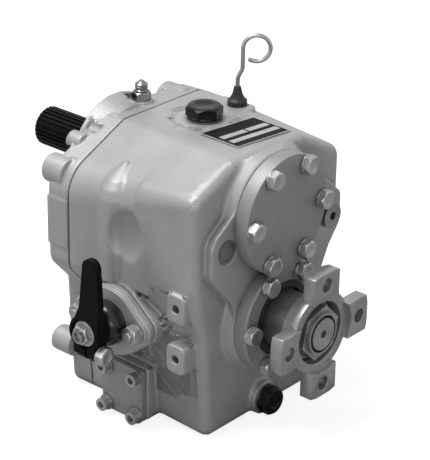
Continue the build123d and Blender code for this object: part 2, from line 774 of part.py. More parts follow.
def snap_rings():
    """Snap rings that hold the forward pinion on the input shaft."""
    low = ring_x(forward_x[0] - 1.8, forward_x[0] - 0.1, gear_seat + 3, gear_seat + 0.02, *input_axis)
    high = ring_x(forward_x[1] + 0.1, forward_x[1] + 1.8, gear_seat + 3, gear_seat + 0.02, *input_axis)
    return low, high


# Idler on its pin

def idler_gear():
    bore = idler_pin / 2 + bush_wall
    return involute_gear(
        idler_teeth, reverse_module, reverse_x[0] + 0.5, reverse_x[1] - 0.5, *idler_axis,
        idler_angle, bore + 0.02,
    )


def idler_bush():
    return ring_x(
        reverse_x[0] + 0.3, reverse_x[1] - 0.3, idler_pin / 2 + bush_wall,
        idler_pin / 2 + running_gap, *idler_axis,
    )


def idler_pin_part():
    """Pin pressed in the input cover, on which the idler runs."""
    return along_x(mount_face_x + 4.5, reverse_x[1] + 4, idler_pin / 2, *idler_axis)


def bore_plug():
    """Socket plug in the aft wall that closes the bore in line with the idler pin."""
    body = along_x(aft_face_x - 4, bore_boss_x + 0.1, bore_plug_radius, *idler_axis)
    body += along_x(bore_boss_x + 0.05, bore_boss_x + 4.3, bore_boss_radius - 0.3, *idler_axis)
    return body - hexagon_x(bore_boss_x - 3, bore_boss_x + 5, 0.75 * bore_plug_radius, *idler_axis)


def idler_retainer():
    """Washer and snap ring at the free end of the idler pin."""
    return ring_x(
        reverse_x[1] + 0.2, reverse_x[1] + 2.2, idler_pin / 2 + 5, idler_pin / 2 + 0.02, *idler_axis
    )


# Output gears, each with a female cone towards the clutch

def cone_cup(side):
    """Cup on a gear's clutch side, with the cone that the sleeve enters."""
    x0 = shift_x + side * cup_mouth
    x1 = shift_x + side * cup_floor
    cup = along_x(x0, x1, cup_radius)
    touch = cone_radius - (cup_mouth - shift_travel - 0.2 - groove_half - 2) * cone_slope
    end = touch - (cup_floor - cup_mouth) * cone_slope
    cone = Cone(touch, end, cup_floor - cup_mouth, align=(Align.CENTER, Align.CENTER, Align.MIN))
    return cup - Location((x0, 0, 0), (0, 90 * side, 0)) * cone


def forward_gear():
    bore = forward_journal / 2 + bush_wall + 0.02
    gear = involute_gear(
        forward_gear_teeth, forward_module, *forward_x, *output_axis, forward_gear_angle, bore
    )
    return gear + cone_cup(1)


def reverse_gear():
    bore = reverse_journal / 2 + bush_wall + 0.02
    gear = involute_gear(
        reverse_gear_teeth, reverse_module, *reverse_x, *output_axis, reverse_gear_angle, bore
    )
    return gear + cone_cup(-1)


def gear_bush(station, journal):
    return ring_x(station[0] - 0.1, station[1] + 0.1, journal / 2 + bush_wall, journal / 2 + running_gap)


# Output shaft with the clutch hub, and its coupling flange
clutch_hub = 20.0
hub_splines = 8
hub_spline_depth = 3.0


def hub_profile(x0, x1, grow):
    """Clutch hub section with broad splines, grown by a clearance for the sleeve's bore."""
    body = along_x(x0, x1, clutch_hub - hub_spline_depth + grow)
    for index in range(hub_splines):
        key = Pos(0, clutch_hub - 2, 0) * Box(x1 - x0, 4 + 2 * grow, 6 + 2 * grow)
        body += Pos((x0 + x1) / 2, 0, 0) * Rot(index * 360 / hub_splines, 0, 0) * key
    return body


def output_shaft():
    body = along_x(output_front_x[0] + 0.5, output_front_x[1] + 0.2, pilot_journal / 2)
    body += along_x(output_front_x[1] + 0.2, shift_x - cup_floor + 0.3, reverse_journal / 2)
    body += hub_profile(shift_x - cup_floor + 0.3, shift_x + cup_floor - 0.3, 0)
    body += along_x(shift_x + cup_floor - 0.3, output_aft_x[0] - 0.2, forward_journal / 2)
    body += along_x(output_aft_x[0] - 0.2, output_aft_x[1], output_journal / 2)
    body += along_x(output_aft_x[1], -register_depth - 6, shaft_thread / 2 + 0.5)
    body += along_x(-register_depth - 6, -1.5, shaft_thread / 2 - 1.5)
    body -= along_x(-6, 0, 3)
    return body


def output_flange():
    arms = Sketch() + [
        Rot(0, 0, quarter * 90) * Pos(flange_reach / 2, 0) * Rectangle(flange_reach, flange_arm)
        for quarter in range(4)
    ]
    arms = arms & Circle(flange_reach + 0.5)
    plate = extrude(section_x(-flange_thick) * arms, amount=flange_thick)
    plate += along_x(-flange_thick, -register_depth, 31)
    plate -= along_x(-register_depth, 0, register_radius)
    for y, z in bolt_ring(flange_bolt_circle, 4, output_axis):
        plate -= along_x(-flange_thick, 0, flange_hole / 2, y, z)
    plate += along_x(output_aft_x[1] + 0.1, -flange_thick, hub_od / 2)
    plate += along_x(-flange_thick - 9, -flange_thick, 27)
    plate -= along_x(-nut_height - register_depth, 0, nut_recess / 2)
    plate -= along_x(output_aft_x[1], 0, shaft_thread / 2 + 0.52)
    return plate


def flange_nut():
    seat = -nut_height - register_depth + 0.05
    nut = hexagon_x(seat + 2, seat + nut_height, nut_flats, 0, 0, 15)
    nut += along_x(seat, seat + 2.5, nut_recess / 2 - 1.5)
    collar = along_x(seat + nut_height, seat + nut_height + 2.5, shaft_thread / 2 + 2)
    return nut + collar - along_x(seat, 0, shaft_thread / 2 + 0.52)


# Clutch sleeve: slides on the hub, cone at each end, groove in the middle

def clutch_sleeve():
    body = along_x(shift_x - groove_half - 2, shift_x + groove_half + 2, clutch_radius)
    length = clutch_half - groove_half - 2
    for side in (-1, 1):
        cone = Cone(
            cone_radius, cone_radius - length * cone_slope, length,
            align=(Align.CENTER, Align.CENTER, Align.MIN),
        )
        body += Location((shift_x + side * (groove_half + 2), 0, 0), (0, 90 * side, 0)) * cone
    body -= ring_x(
        shift_x - groove_half, shift_x + groove_half, clutch_radius + 1, clutch_radius - groove_depth
    )
    return body - hub_profile(shift_x - clutch_half, shift_x + clutch_half, seat_gap)


# Shift cover, lever shaft and crank
shift_seat_y = shift_pad_y - gasket_thick
shift_face_y = shift_seat_y - shift_cover_thick
lever_back_y = shift_face_y - boot_length - 0.3
lever_front_y = lever_back_y - lever_thick
shoe_y = -clutch_radius + groove_depth - 0.6
crank_y = -clutch_radius - 3.0


def shift_cover():
    frame = side_plane(shift_seat_y) * Pos(shift_x, shift_z)
    plate = shift_flange_sketch(shift_pad_radius - 1, shift_pad_ear - 1)
    ridge = shift_flange_sketch(shift_pad_radius - 2.5, shift_pad_ear - 2.5)
    body = extrude(frame * plate, amount=0.6 * shift_cover_thick)
    body += extrude(frame * ridge, amount=shift_cover_thick)
    body += along_y(-56, shift_seat_y, lever_shaft / 2 + 3.8, shift_x, shift_z)
    body -= along_y(-50, shift_face_y, lever_shaft / 2 + running_gap, shift_x, shift_z)
    for side in (-1, 1):
        stud_x = shift_x + side * stud_reach
        body -= along_y(shift_seat_y, shift_face_y, bolt_size / 2 + 0.25, stud_x, shift_z)
    return body


def shift_gasket():
    sheet = shift_flange_sketch(shift_pad_radius - 1, shift_pad_ear - 1)
    body = extrude(side_plane(shift_pad_y) * Pos(shift_x, shift_z) * sheet, amount=gasket_thick)
    body -= along_y(shift_pad_y, shift_seat_y, lever_shaft / 2 + 4, shift_x, shift_z)
    for side in (-1, 1):
        stud_x = shift_x + side * stud_reach
        body -= along_y(shift_pad_y, shift_seat_y, bolt_size / 2 + 0.25, stud_x, shift_z)
    return body


def shift_stud(side):
    x = shift_x + side * stud_reach
    stud = along_y(shift_face_y - 10, shift_pad_y + 12, bolt_size / 2, x, shift_z)
    base = shift_face_y - 1.62
    nut = extrude(
        side_plane(base) * Pos(x, shift_z) * Rot(0, 0, 12)
        * RegularPolygon(bolt_flats / 2, 6, major_radius=False),
        amount=6.5,
    )
    washer = along_y(shift_face_y - 0.02, shift_face_y - 1.6, washer_od / 2, x, shift_z)
    washer -= along_y(shift_face_y, shift_face_y - 1.6, bolt_size / 2 + 0.2, x, shift_z)
    return stud, nut - along_y(base, base - 6.5, bolt_size / 2 + 0.02, x, shift_z), washer


def shift_boot():
    """Rubber boot that seals the lever shaft outside the shift cover."""
    body = along_y(shift_face_y - 0.05, shift_face_y - boot_length, boot_radius, shift_x, shift_z)
    body = fillet(body.edges().sort_by(Axis.Y)[0], 0.5 * boot_radius)
    return body - along_y(shift_face_y, lever_back_y, lever_shaft / 2 + 0.1, shift_x, shift_z)


def lever_shaft_part():
    """Lever shaft with the crank plate at its inner end and a drilled thread at its outer end."""
    body = along_y(crank_y - 6, lever_seat_y, lever_shaft / 2, shift_x, shift_z)
    body += along_y(lever_end_y, lever_seat_y + 1, shaft_thread_end / 2, shift_x, shift_z)
    body -= along_y(lever_end_y, lever_end_y + 5, shaft_thread_end / 2 - 1.7, shift_x, shift_z)
    plate = side_plane(crank_y) * Pos(shift_x, shift_z)
    arm = SlotCenterToCenter(crank_throw, 2 * 7).rotate(Axis.Z, 90)
    body += extrude(plate * Pos(0, -crank_throw / 2) * arm, amount=6)
    return body


lever_seat_y = lever_front_y + 3.0
lever_end_y = lever_front_y - 5.5


def crank_pin():
    body = along_y(shoe_y, crank_y, groove_half - 0.3, shift_x, shift_z - crank_throw)
    return body


def lever():
    """Cast hand lever: a thick hub clamped on the serrated shaft, its thin blade flush in front."""
    frame = side_plane(lever_back_y) * Pos(shift_x, shift_z)
    body = extrude(frame * Circle(lever_hub), amount=lever_thick)
    tip_x, tip_z = lever_tip_place
    blade = make_face(
        Polyline(
            [
                (-0.7 * lever_hub, 0.6 * lever_hub), (tip_x - lever_tip - 3.5, 0.4 * tip_z),
                (tip_x - lever_tip, tip_z), (tip_x + lever_tip, tip_z),
                (tip_x + lever_tip + 1.8, 0.4 * tip_z),
                (0.98 * lever_hub, 0),
            ],
            close=True,
        )
    )
    blade += Pos(tip_x, tip_z) * Circle(lever_tip)
    front = side_plane(lever_front_y + lever_blade) * Pos(shift_x, shift_z)
    body += extrude(front * blade, amount=lever_blade)
    foot = Pos(-0.4, -0.5 * clamp_drop - 1) * RectangleRounded(clamp_seat + 9.6, clamp_drop + 2, 1.5)
    body += extrude(frame * Pos(0.5 * (clamp_seat - 8.8), 0) * foot, amount=lever_thick)
    hole_y = (lever_back_y + lever_front_y) / 2
    body += along_x(shift_x - 6, shift_x + clamp_seat, lever_thick / 2, hole_y, shift_z - clamp_drop)
    body -= along_y(lever_back_y, lever_front_y, lever_shaft / 2 + 0.02, shift_x, shift_z)
    body -= along_y(lever_front_y, lever_seat_y, lever_hub - 2.5, shift_x, shift_z)
    slot_place = side_plane(lever_back_y) * Pos(shift_x + 3, shift_z - clamp_drop - 3)
    slot = slot_place * Rectangle(2.5, 2 * clamp_drop)
    body -= extrude(slot, amount=lever_thick)
    body -= along_x(shift_x - 12, shift_x + 18, bolt_size / 2 + 0.05, hole_y, shift_z - clamp_drop)
    return body


clamp_seat = 11.2


def clamp_bolt():
    """Pinch bolt of the lever with its washer, head facing aft."""
    y = (lever_back_y + lever_front_y) / 2
    z = shift_z - clamp_drop
    seat = shift_x + clamp_seat
    head = hexagon_x(seat + washer_thick, seat + washer_thick + bolt_head, bolt_flats, y, z, 10)
    head += along_x(seat + 0.02, seat + washer_thick, washer_od / 2, y, z)
    return head + along_x(shift_x - 5.5, seat + 0.1, bolt_size / 2, y, z)


def lever_nut():
    """Hexagon nut with its washer, sunk in the hub of the lever."""
    washer = along_y(lever_seat_y - 0.05, lever_seat_y - washer_thick, lever_hub - 3.8, shift_x, shift_z)
    hexagon = RegularPolygon(bolt_flats / 2, 6, major_radius=False)
    nut = extrude(
        side_plane(lever_seat_y - washer_thick) * Pos(shift_x, shift_z) * Rot(0, 0, 20) * hexagon, amount=5
    )
    body = washer + nut
    return body - along_y(lever_seat_y, lever_end_y, shaft_thread_end / 2 + 0.02, shift_x, shift_z)


# Side cover below the shift cover

def side_cover():
    face = side_plane(side_seat_y - gasket_thick) * Pos(shift_x, side_cover_z)
    plate = RectangleRounded(side_cover_width, side_cover_height, 1.5)
    body = extrude(face * plate, amount=side_cover_thick)
    for x, z in side_screw_places:
        body -= along_y(side_seat_y, side_cover_face_y, 3.2, x, z)
    return body


def side_gasket():
    face = side_plane(side_seat_y) * Pos(shift_x, side_cover_z)
    ring = RectangleRounded(side_cover_width, side_cover_height, 1.5)
    ring -= Rectangle(side_cover_width - 20, side_cover_height - 20)
    body = extrude(face * ring, amount=gasket_thick)
    for x, z in side_screw_places:
        body -= along_y(side_seat_y, side_cover_face_y, 3.2, x, z)
    return body


# Roof fittings: filler plug, dipstick, breather and plate

def hexagon_z(z0, z1, flats, x, y, turn=0.0):
    """Hexagonal bar along Z."""
    sketch = Pos(x, y) * Rot(0, 0, turn) * RegularPolygon(flats / 2, 6, major_radius=False)
    return extrude(Plane.XY.offset(z0) * sketch, amount=z1 - z0)


def filler_plug():
    base = deck_z + 1.5
    head = hexagon_z(base + 1.5, base + 9, filler_flats, fitting_x, filler_y, 20)
    head += along_z(base, base + 2, filler_flats / 2 + 1, fitting_x, filler_y)
    return head + along_z(deck_z - 12, base + 0.1, filler_thread / 2, fitting_x, filler_y)


def filler_ring():
    ring = along_z(deck_z + 0.02, deck_z + 1.48, filler_flats / 2 + 0.5, fitting_x, filler_y)
    return ring - along_z(deck_z, deck_z + 2, filler_thread / 2 + 0.1, fitting_x, filler_y)


stopper_radius = 7.3
wire_radius = 1.6
wire_low_z = 8.0
wire_turn = 43.0
wire_bend_z = deck_z + 21
loop_reach = 13.4
loop_radius = 10.0
loop_z = 165.5


def dipstick_stopper():
    """Rubber stopper: a neck in the deck, a bellied collar and a cone up the wire."""
    outline = Polyline(
        [
            (wire_radius + 0.02, -10), (stopper_neck, -10), (stopper_neck, 0.05), (stopper_radius, 0.05),
            (stopper_radius, 3.5), (stopper_radius - 2, 5.5), (3.8, 8.5), (2.6, 14),
            (wire_radius + 0.02, 14),
        ],
        close=True,
    )
    frame = Plane(origin=(fitting_x, dipstick_y, deck_z), x_dir=(1, 0, 0), z_dir=(0, -1, 0))
    profile = frame * make_face(outline)
    axis = Axis((fitting_x, dipstick_y, 0), (0, 0, 1))
    return revolve(profile, axis)


def dipstick_wire():
    """Measuring wire with its finger loop, bent from one round rod."""
    turn = math.radians(wire_turn)
    plane = Plane(
        origin=(fitting_x, dipstick_y, 0),
        x_dir=(math.cos(turn), math.sin(turn), 0),
        z_dir=(math.sin(turn), -math.cos(turn), 0),
    )
    side = loop_reach - loop_radius
    stem = FilletPolyline(
        (0, wire_low_z), (0, wire_bend_z), (side, wire_bend_z + 2 * side), (side, loop_z), radius=8
    )
    loop = CenterArc((loop_reach, loop_z), loop_radius, 180, -305)
    start = Plane(origin=(fitting_x, dipstick_y, wire_low_z), z_dir=(0, 0, 1))
    return sweep(start * Circle(wire_radius), path=plane * (stem + loop))


def breather_body():
    body = hexagon_z(breather_z + 0.02, breather_z + 6.5, 14, breather_x, breather_y, 15)
    body += along_z(breather_z - 5.5, breather_z + 0.1, 5.0, breather_x, breather_y)
    body += along_z(breather_z + 6.5, breather_z + 8.5, 5.2, breather_x, breather_y)
    return body + along_z(breather_z + 8.5, breather_z + 11, 2.5, breather_x, breather_y)


def breather_cap():
    """Loose cap over the vent stem, free to lift a little."""
    body = along_z(breather_z + 8.8, breather_z + 15, 5.6, breather_x, breather_y)
    body = chamfer(body.edges().sort_by(Axis.Z)[-1], 2.5)
    return body - along_z(breather_z + 8.8, breather_z + 13, 2.6, breather_x, breather_y)


def roof_height(x, y):
    """Height of the roof between its two crown lines, as the casting is ruled."""
    y0, z0 = outline_corner(4, x)
    y1, z1 = outline_corner(5, x)
    return z0 + (z1 - z0) * (y - y0) / (y1 - y0)


def name_plate():
    """Blank plate pressed on the roof, following its slope."""
    here = roof_height(plate_x, plate_y)
    slope_x = roof_height(plate_x + 10, plate_y) - roof_height(plate_x - 10, plate_y)
    slope_y = roof_height(plate_x, plate_y + 10) - roof_height(plate_x, plate_y - 10)
    normal = Vector(-slope_x / 20, -slope_y / 20, 1).normalized()
    plane = Plane(origin=(plate_x, plate_y, here + 0.25), x_dir=(1, 0, slope_x / 20), z_dir=normal)
    return extrude(plane * Rot(0, 0, plate_turn) * Rectangle(plate_width, plate_length), amount=0.8)


def drain_plug():
    seat = aft_face_x + 5
    head = hexagon_x(seat + 1.5, seat + 9.5, 19, 0, drain_z, 10)
    head += along_x(seat + 1.5, seat + 3, 11, 0, drain_z)
    return head + along_x(seat - 12, seat + 1.6, 7.0, 0, drain_z)


def drain_ring():
    seat = aft_face_x + 5
    return ring_x(seat + 0.02, seat + 1.48, 10.5, 7.1, 0, drain_z)


def core_plug():
    body = along_x(pad_face_x - 3, pad_face_x - 0.05, core_plug_radius, *core_plug_place)
    return body - along_x(pad_face_x - 1, pad_face_x + 1, core_plug_radius - 1.6, *core_plug_place)


# Write every node
save("main_housing", main_housing())
save("input_cover", input_cover())
save("casing_gasket", casing_gasket())
save("case_screws", *case_screws())
save("upper_cover", upper_cover())
save("upper_gasket", upper_gasket())
save("lower_cover", lower_cover())
save("lower_gasket", lower_gasket())

upper_parts = [hex_bolt_x(upper_face_x, y, z, 17 * k) for k, (y, z) in enumerate(upper_bolts)]
save("upper_cover_bolts", *[piece for pair in upper_parts for piece in pair])
lower_parts = [hex_bolt_x(lower_face_x, y, z, 11 * k) for k, (y, z) in enumerate(lower_bolts)]
save("lower_cover_bolts", *[piece for pair in lower_parts for piece in pair])

save(
    "output_seal",
    lip_seal(lower_face_x - 7.4, lower_face_x - 0.4, output_seal_od / 2, hub_od / 2, output_axis),
)
save(
    "input_seal",
    lip_seal(
        mount_face_x + 0.5, input_front_x[0] - 0.1, input_seal_od / 2, input_journal / 2, input_axis
    ),
)
save(
    "input_bearing_outers",
    bearing_outer(*input_front_x, input_bearing_od, input_journal, input_axis),
    bearing_outer(*input_aft_x, input_bearing_od, input_journal, input_axis),
)
save(
    "output_front_bearing_outer",
    bearing_outer(*output_front_x, pilot_bearing_od, pilot_journal, output_axis),
)
save(
    "output_aft_bearing_outer",
    bearing_outer(*output_aft_x, output_bearing_od, output_journal, output_axis),
)
save("idler_pin", idler_pin_part())
save("bore_plug", bore_plug())
save("idler_retainer", idler_retainer())
save("core_plug", core_plug())
save("drain_plug", drain_plug())
save("drain_ring", drain_ring())
save("filler_plug", filler_plug())
save("filler_ring", filler_ring())
save("breather_body", breather_body())
save("breather_cap", breather_cap())
save("name_plate", name_plate())
save("side_cover", side_cover())
save("side_gasket", side_gasket())
side_parts = [socket_screw_y(side_cover_face_y, x, z) for x, z in side_screw_places]
save("side_cover_screws", *[piece for pair in side_parts for piece in pair])
save("shift_cover", shift_cover())
save("shift_gasket", shift_gasket())
stud_parts = [shift_stud(side) for side in (-1, 1)]
save("shift_studs", *[stud for stud, nut, washer in stud_parts])
save("shift_nuts", *[piece for trio in stud_parts for piece in trio[1:]])
save("shift_boot", shift_boot())

save("input_shaft", input_shaft())
save("forward_pinion", forward_pinion())
save("snap_rings", *snap_rings())
save(
    "input_bearing_inners",
    bearing_inner(*input_front_x, input_bearing_od, input_journal, input_axis),
    bearing_inner(*input_aft_x, input_bearing_od, input_journal, input_axis),
)
save("idler_gear", idler_gear())
save("idler_bush", idler_bush())
save("forward_gear", forward_gear())
save("forward_bush", gear_bush(forward_x, forward_journal))
save("reverse_gear", reverse_gear())
save("reverse_bush", gear_bush(reverse_x, reverse_journal))
save("output_shaft", output_shaft())
save("output_flange", output_flange())
save("flange_nut", flange_nut())
save(
    "output_bearing_inners",
    bearing_inner(*output_front_x, pilot_bearing_od, pilot_journal, output_axis, 8),
    bearing_inner(*output_aft_x, output_bearing_od, output_journal, output_axis, 8),
)
save("clutch_sleeve", clutch_sleeve())
save("lever", lever())
save("lever_shaft", lever_shaft_part())
save("crank_pin", crank_pin())
save("lever_nut", lever_nut())
save("clamp_bolt", clamp_bolt())
save("dipstick_stopper", dipstick_stopper())
save("dipstick_wire", dipstick_wire())
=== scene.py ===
import math

import bpy
from mathutils import Vector, Matrix


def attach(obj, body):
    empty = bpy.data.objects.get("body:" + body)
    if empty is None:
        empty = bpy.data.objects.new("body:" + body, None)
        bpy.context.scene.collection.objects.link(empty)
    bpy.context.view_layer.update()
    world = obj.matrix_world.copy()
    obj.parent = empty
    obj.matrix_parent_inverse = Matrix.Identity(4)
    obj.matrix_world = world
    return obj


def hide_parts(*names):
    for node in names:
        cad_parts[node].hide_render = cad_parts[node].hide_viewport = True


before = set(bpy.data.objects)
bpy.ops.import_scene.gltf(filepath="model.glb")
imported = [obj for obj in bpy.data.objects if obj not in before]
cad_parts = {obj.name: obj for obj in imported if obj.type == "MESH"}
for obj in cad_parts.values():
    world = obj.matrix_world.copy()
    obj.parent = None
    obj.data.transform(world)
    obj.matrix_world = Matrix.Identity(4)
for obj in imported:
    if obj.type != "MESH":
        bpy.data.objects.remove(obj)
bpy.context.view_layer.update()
bpy.ops.object.select_all(action="DESELECT")
mm = 0.001

# Studio: the camera stands to port and aft of the gearbox and above it. The pale
# floor touches the front foot and the aft lower edge, on which the gearbox rests.
# Two soft lamps and an even sky light the casting.
azimuth = math.radians(40.57)
elevation = math.radians(25.69)
tilt = math.radians(0.98)
camera_distance = 1424
camera_left = 77.5
camera_lift = 73.7
focal_pixels = 2028
film_width = 36
photo_height = 460
back = Vector((
    math.sin(azimuth) * math.cos(elevation),
    -math.cos(azimuth) * math.cos(elevation),
    math.sin(elevation),
))
level = Vector((math.cos(azimuth), math.sin(azimuth), 0))
upright = back.cross(level)
right = math.cos(tilt) * level + math.sin(tilt) * upright
rise = -math.sin(tilt) * level + math.cos(tilt) * upright
stand = camera_distance * mm * back - camera_left * mm * right + camera_lift * mm * rise
bpy.ops.object.camera_add(location=stand)
camera = bpy.context.object
camera.name = "catalogue_camera"
turned = Matrix((right, rise, back)).transposed().to_4x4()
camera.matrix_world = Matrix.Translation(stand) @ turned
camera.data.sensor_fit = "AUTO"
camera.data.sensor_width = film_width
camera.data.lens = focal_pixels * film_width / photo_height
camera.data.clip_end = 20
camera.data.dof.use_dof = False
bpy.context.scene.camera = camera
bpy.context.scene.view_settings.view_transform = "Standard"


def add_lamp(name, spot, aim, size, power):
    """One square soft box, aimed at a point."""
    bpy.ops.object.light_add(type="AREA", location=spot)
    lamp = bpy.context.object
    lamp.name = name
    lamp.data.size = size
    lamp.data.energy = power
    lamp.rotation_euler = (Vector(aim) - Vector(spot)).to_track_quat("-Z", "Y").to_euler()


add_lamp("soft_box_above", (-0.60, -0.50, 1.95), (-0.12, 0, 0.02), size=1.0, power=33)
add_lamp("soft_box_camera_side", (1.25, -1.45, 0.35), (-0.12, 0, 0.0), size=0.5, power=3.2)

# The sky is white to the eye, a little dimmer in gloss, and weak as a light.
sky_in_gloss = 0.8
sky_as_light = 0.25
sky = bpy.data.worlds.new("even_sky")
bpy.context.scene.world = sky
sky.use_nodes = True
sky_nodes, sky_links = sky.node_tree.nodes, sky.node_tree.links
ray_kind = sky_nodes.new("ShaderNodeLightPath")
seen = sky_nodes.new("ShaderNodeMath")
seen.operation = "MAXIMUM"
mirrored = sky_nodes.new("ShaderNodeMath")
mirrored.operation = "MAXIMUM"
sky_links.new(ray_kind.outputs["Is Glossy Ray"], mirrored.inputs[0])
sky_links.new(ray_kind.outputs["Is Transmission Ray"], mirrored.inputs[1])
mirror_level = sky_nodes.new("ShaderNodeMath")
mirror_level.operation = "MULTIPLY"
mirror_level.inputs[1].default_value = sky_in_gloss
sky_links.new(mirrored.outputs[0], mirror_level.inputs[0])
sky_links.new(ray_kind.outputs["Is Camera Ray"], seen.inputs[0])
sky_links.new(mirror_level.outputs[0], seen.inputs[1])
sky_level = sky_nodes.new("ShaderNodeMapRange")
sky_level.inputs["To Min"].default_value = sky_as_light
sky_level.inputs["To Max"].default_value = 1.0
sky_links.new(seen.outputs[0], sky_level.inputs["Value"])
sky_links.new(sky_level.outputs["Result"], sky_nodes["Background"].inputs["Strength"])
sky_nodes["Background"].inputs["Color"].default_value = (1, 1, 1, 1)

front_foot = Vector((-193.5, 0, -90.0)) * mm
aft_edge = Vector((-64.5, 0, -84.0)) * mm
slope = math.atan2(aft_edge.z - front_foot.z, aft_edge.x - front_foot.x)
floor_size = 2.6
floor_clearance = 0.1
floor_tone = 0.50
floor_glow = 0.84
bpy.ops.mesh.primitive_plane_add(
    size=floor_size,
    location=(front_foot + aft_edge) / 2 - Vector((0, 0, floor_clearance * mm)),
    rotation=(0, -slope, 0),
)
floor = bpy.context.object
floor.name = "floor"
bpy.ops.object.transform_apply(location=True, rotation=True)
pale = bpy.data.materials.new("pale_floor")
pale.use_nodes = True
pale_nodes, pale_links = pale.node_tree.nodes, pale.node_tree.links
pale_skin = pale_nodes["Principled BSDF"]
pale_skin.inputs["Base Color"].default_value = (floor_tone, floor_tone, floor_tone, 1)
pale_skin.inputs["Roughness"].default_value = 1.0
pale_skin.inputs["Specular IOR Level"].default_value = 0.0
pale_skin.inputs["Emission Color"].default_value = (1, 1, 1, 1)
floor_ray = pale_nodes.new("ShaderNodeLightPath")
floor_lift = pale_nodes.new("ShaderNodeMath")
floor_lift.operation = "MULTIPLY"
floor_lift.inputs[1].default_value = floor_glow
pale_links.new(floor_ray.outputs["Is Camera Ray"], floor_lift.inputs[0])
pale_links.new(floor_lift.outputs[0], pale_skin.inputs["Emission Strength"])
floor.data.materials.append(pale)
bpy.ops.object.select_all(action="DESELECT")


# Main housing: one deep aluminium casting with soft foundry corners, bead blasted
# and sprayed with a thin silver-grey paint. Its raised aft pad and bosses are part
# of the same casting.
def cast_paint(name, tone, coarse=1.0):
    """Thin silver paint on a blasted casting: soft clouds, pebbled grain, and painted shade in
    hollows and creases.
    """
    paint = bpy.data.materials.new(name)
    paint.use_nodes = True
    nodes, links = paint.node_tree.nodes, paint.node_tree.links
    skin = nodes["Principled BSDF"]
    skin.inputs["Metallic"].default_value = 0.35
    place = nodes.new("ShaderNodeTexCoord")
    clouds = nodes.new("ShaderNodeTexNoise")
    clouds.inputs["Scale"].default_value = 24
    clouds.inputs["Detail"].default_value = 5
    links.new(place.outputs["Object"], clouds.inputs["Vector"])
    tones = nodes.new("ShaderNodeValToRGB")
    tones.color_ramp.elements[0].position = 0.35
    tones.color_ramp.elements[0].color = (tone * 0.90, tone * 0.90, tone * 0.905, 1)
    tones.color_ramp.elements[1].position = 0.68
    tones.color_ramp.elements[1].color = (tone * 1.05, tone * 1.05, tone * 1.05, 1)
    links.new(clouds.outputs["Fac"], tones.inputs["Fac"])
    grain = nodes.new("ShaderNodeTexNoise")
    grain.inputs["Scale"].default_value = 1500 / coarse
    grain.inputs["Detail"].default_value = 3
    links.new(place.outputs["Object"], grain.inputs["Vector"])
    speckle = nodes.new("ShaderNodeMix")
    speckle.data_type = "RGBA"
    speckle.blend_type = "OVERLAY"
    speckle.inputs["Factor"].default_value = 0.24
    links.new(tones.outputs["Color"], speckle.inputs["A"])
    links.new(grain.outputs["Fac"], speckle.inputs["B"])
    # Painted shade: ambient occlusion darkens the paint colour in hollows, creases and beside
    # bolts.
    hollow = nodes.new("ShaderNodeAmbientOcclusion")
    hollow.inputs["Distance"].default_value = 9 * mm
    hollow.samples = 8
    painted_hollow_shade = nodes.new("ShaderNodeValToRGB")
    painted_hollow_shade.color_ramp.elements[0].position = 0.25
    painted_hollow_shade.color_ramp.elements[0].color = (0.42, 0.42, 0.42, 1)
    painted_hollow_shade.color_ramp.elements[1].position = 0.85
    painted_hollow_shade.color_ramp.elements[1].color = (1, 1, 1, 1)
    links.new(hollow.outputs["AO"], painted_hollow_shade.inputs["Fac"])
    shaded = nodes.new("ShaderNodeMix")
    shaded.data_type = "RGBA"
    shaded.blend_type = "MULTIPLY"
    shaded.inputs["Factor"].default_value = 0.75
    links.new(speckle.outputs["Result"], shaded.inputs["A"])
    links.new(painted_hollow_shade.outputs["Color"], shaded.inputs["B"])
    links.new(shaded.outputs["Result"], skin.inputs["Base Color"])
    gloss = nodes.new("ShaderNodeMapRange")
    gloss.inputs["To Min"].default_value = 0.42
    gloss.inputs["To Max"].default_value = 0.58
    links.new(clouds.outputs["Fac"], gloss.inputs["Value"])
    links.new(gloss.outputs["Result"], skin.inputs["Roughness"])
    pebbles = nodes.new("ShaderNodeBump")
    pebbles.inputs["Strength"].default_value = 0.16
    pebbles.inputs["Distance"].default_value = 0.25 * mm
    links.new(grain.outputs["Fac"], pebbles.inputs["Height"])
    swell = nodes.new("ShaderNodeTexNoise")
    swell.inputs["Scale"].default_value = 70
    swell.inputs["Detail"].default_value = 2
    links.new(place.outputs["Object"], swell.inputs["Vector"])
    waves = nodes.new("ShaderNodeBump")
    waves.inputs["Strength"].default_value = 0.22
    waves.inputs["Distance"].default_value = 0.6 * mm
    links.new(swell.outputs["Fac"], waves.inputs["Height"])
    links.new(pebbles.outputs["Normal"], waves.inputs["Normal"])
    links.new(waves.outputs["Normal"], skin.inputs["Normal"])
    return paint


def sound_copy(node, name):
    """Copy of a solid with its loose triangles merged, left selected and active."""
    piece = bpy.data.objects.new(name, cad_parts[node].data.copy())
    bpy.context.scene.collection.objects.link(piece)
    bpy.context.view_layer.objects.active = piece
    piece.select_set(True)
    piece.data.materials.clear()
    bpy.ops.object.mode_set(mode="EDIT")
    bpy.ops.mesh.select_all(action="SELECT")
    bpy.ops.mesh.remove_doubles(threshold=0.002 * mm)
    bpy.ops.object.mode_set(mode="OBJECT")
    return piece


def soften_casting(piece, voxel, rounds):
    """Round all edges and inner corners as sand and paint leave them."""
    piece.data.remesh_voxel_size = voxel * mm
    bpy.ops.object.voxel_remesh()
    bpy.ops.object.select_all(action="DESELECT")
    piece.select_set(True)
    bpy.ops.object.modifier_add(type="SMOOTH")
    piece.modifiers[-1].factor = 0.5
    piece.modifiers[-1].iterations = rounds
    bpy.ops.object.modifier_apply(modifier=piece.modifiers[-1].name)


def select_faces(piece, chosen):
    """Select in edit mode the faces that pass a test."""
    bpy.ops.object.mode_set(mode="EDIT")
    bpy.ops.mesh.select_mode(type="FACE")
    bpy.ops.mesh.select_all(action="DESELECT")
    bpy.ops.object.mode_set(mode="OBJECT")
    for face in piece.data.polygons:
        face.select = chosen(face)
    bpy.ops.object.mode_set(mode="EDIT")


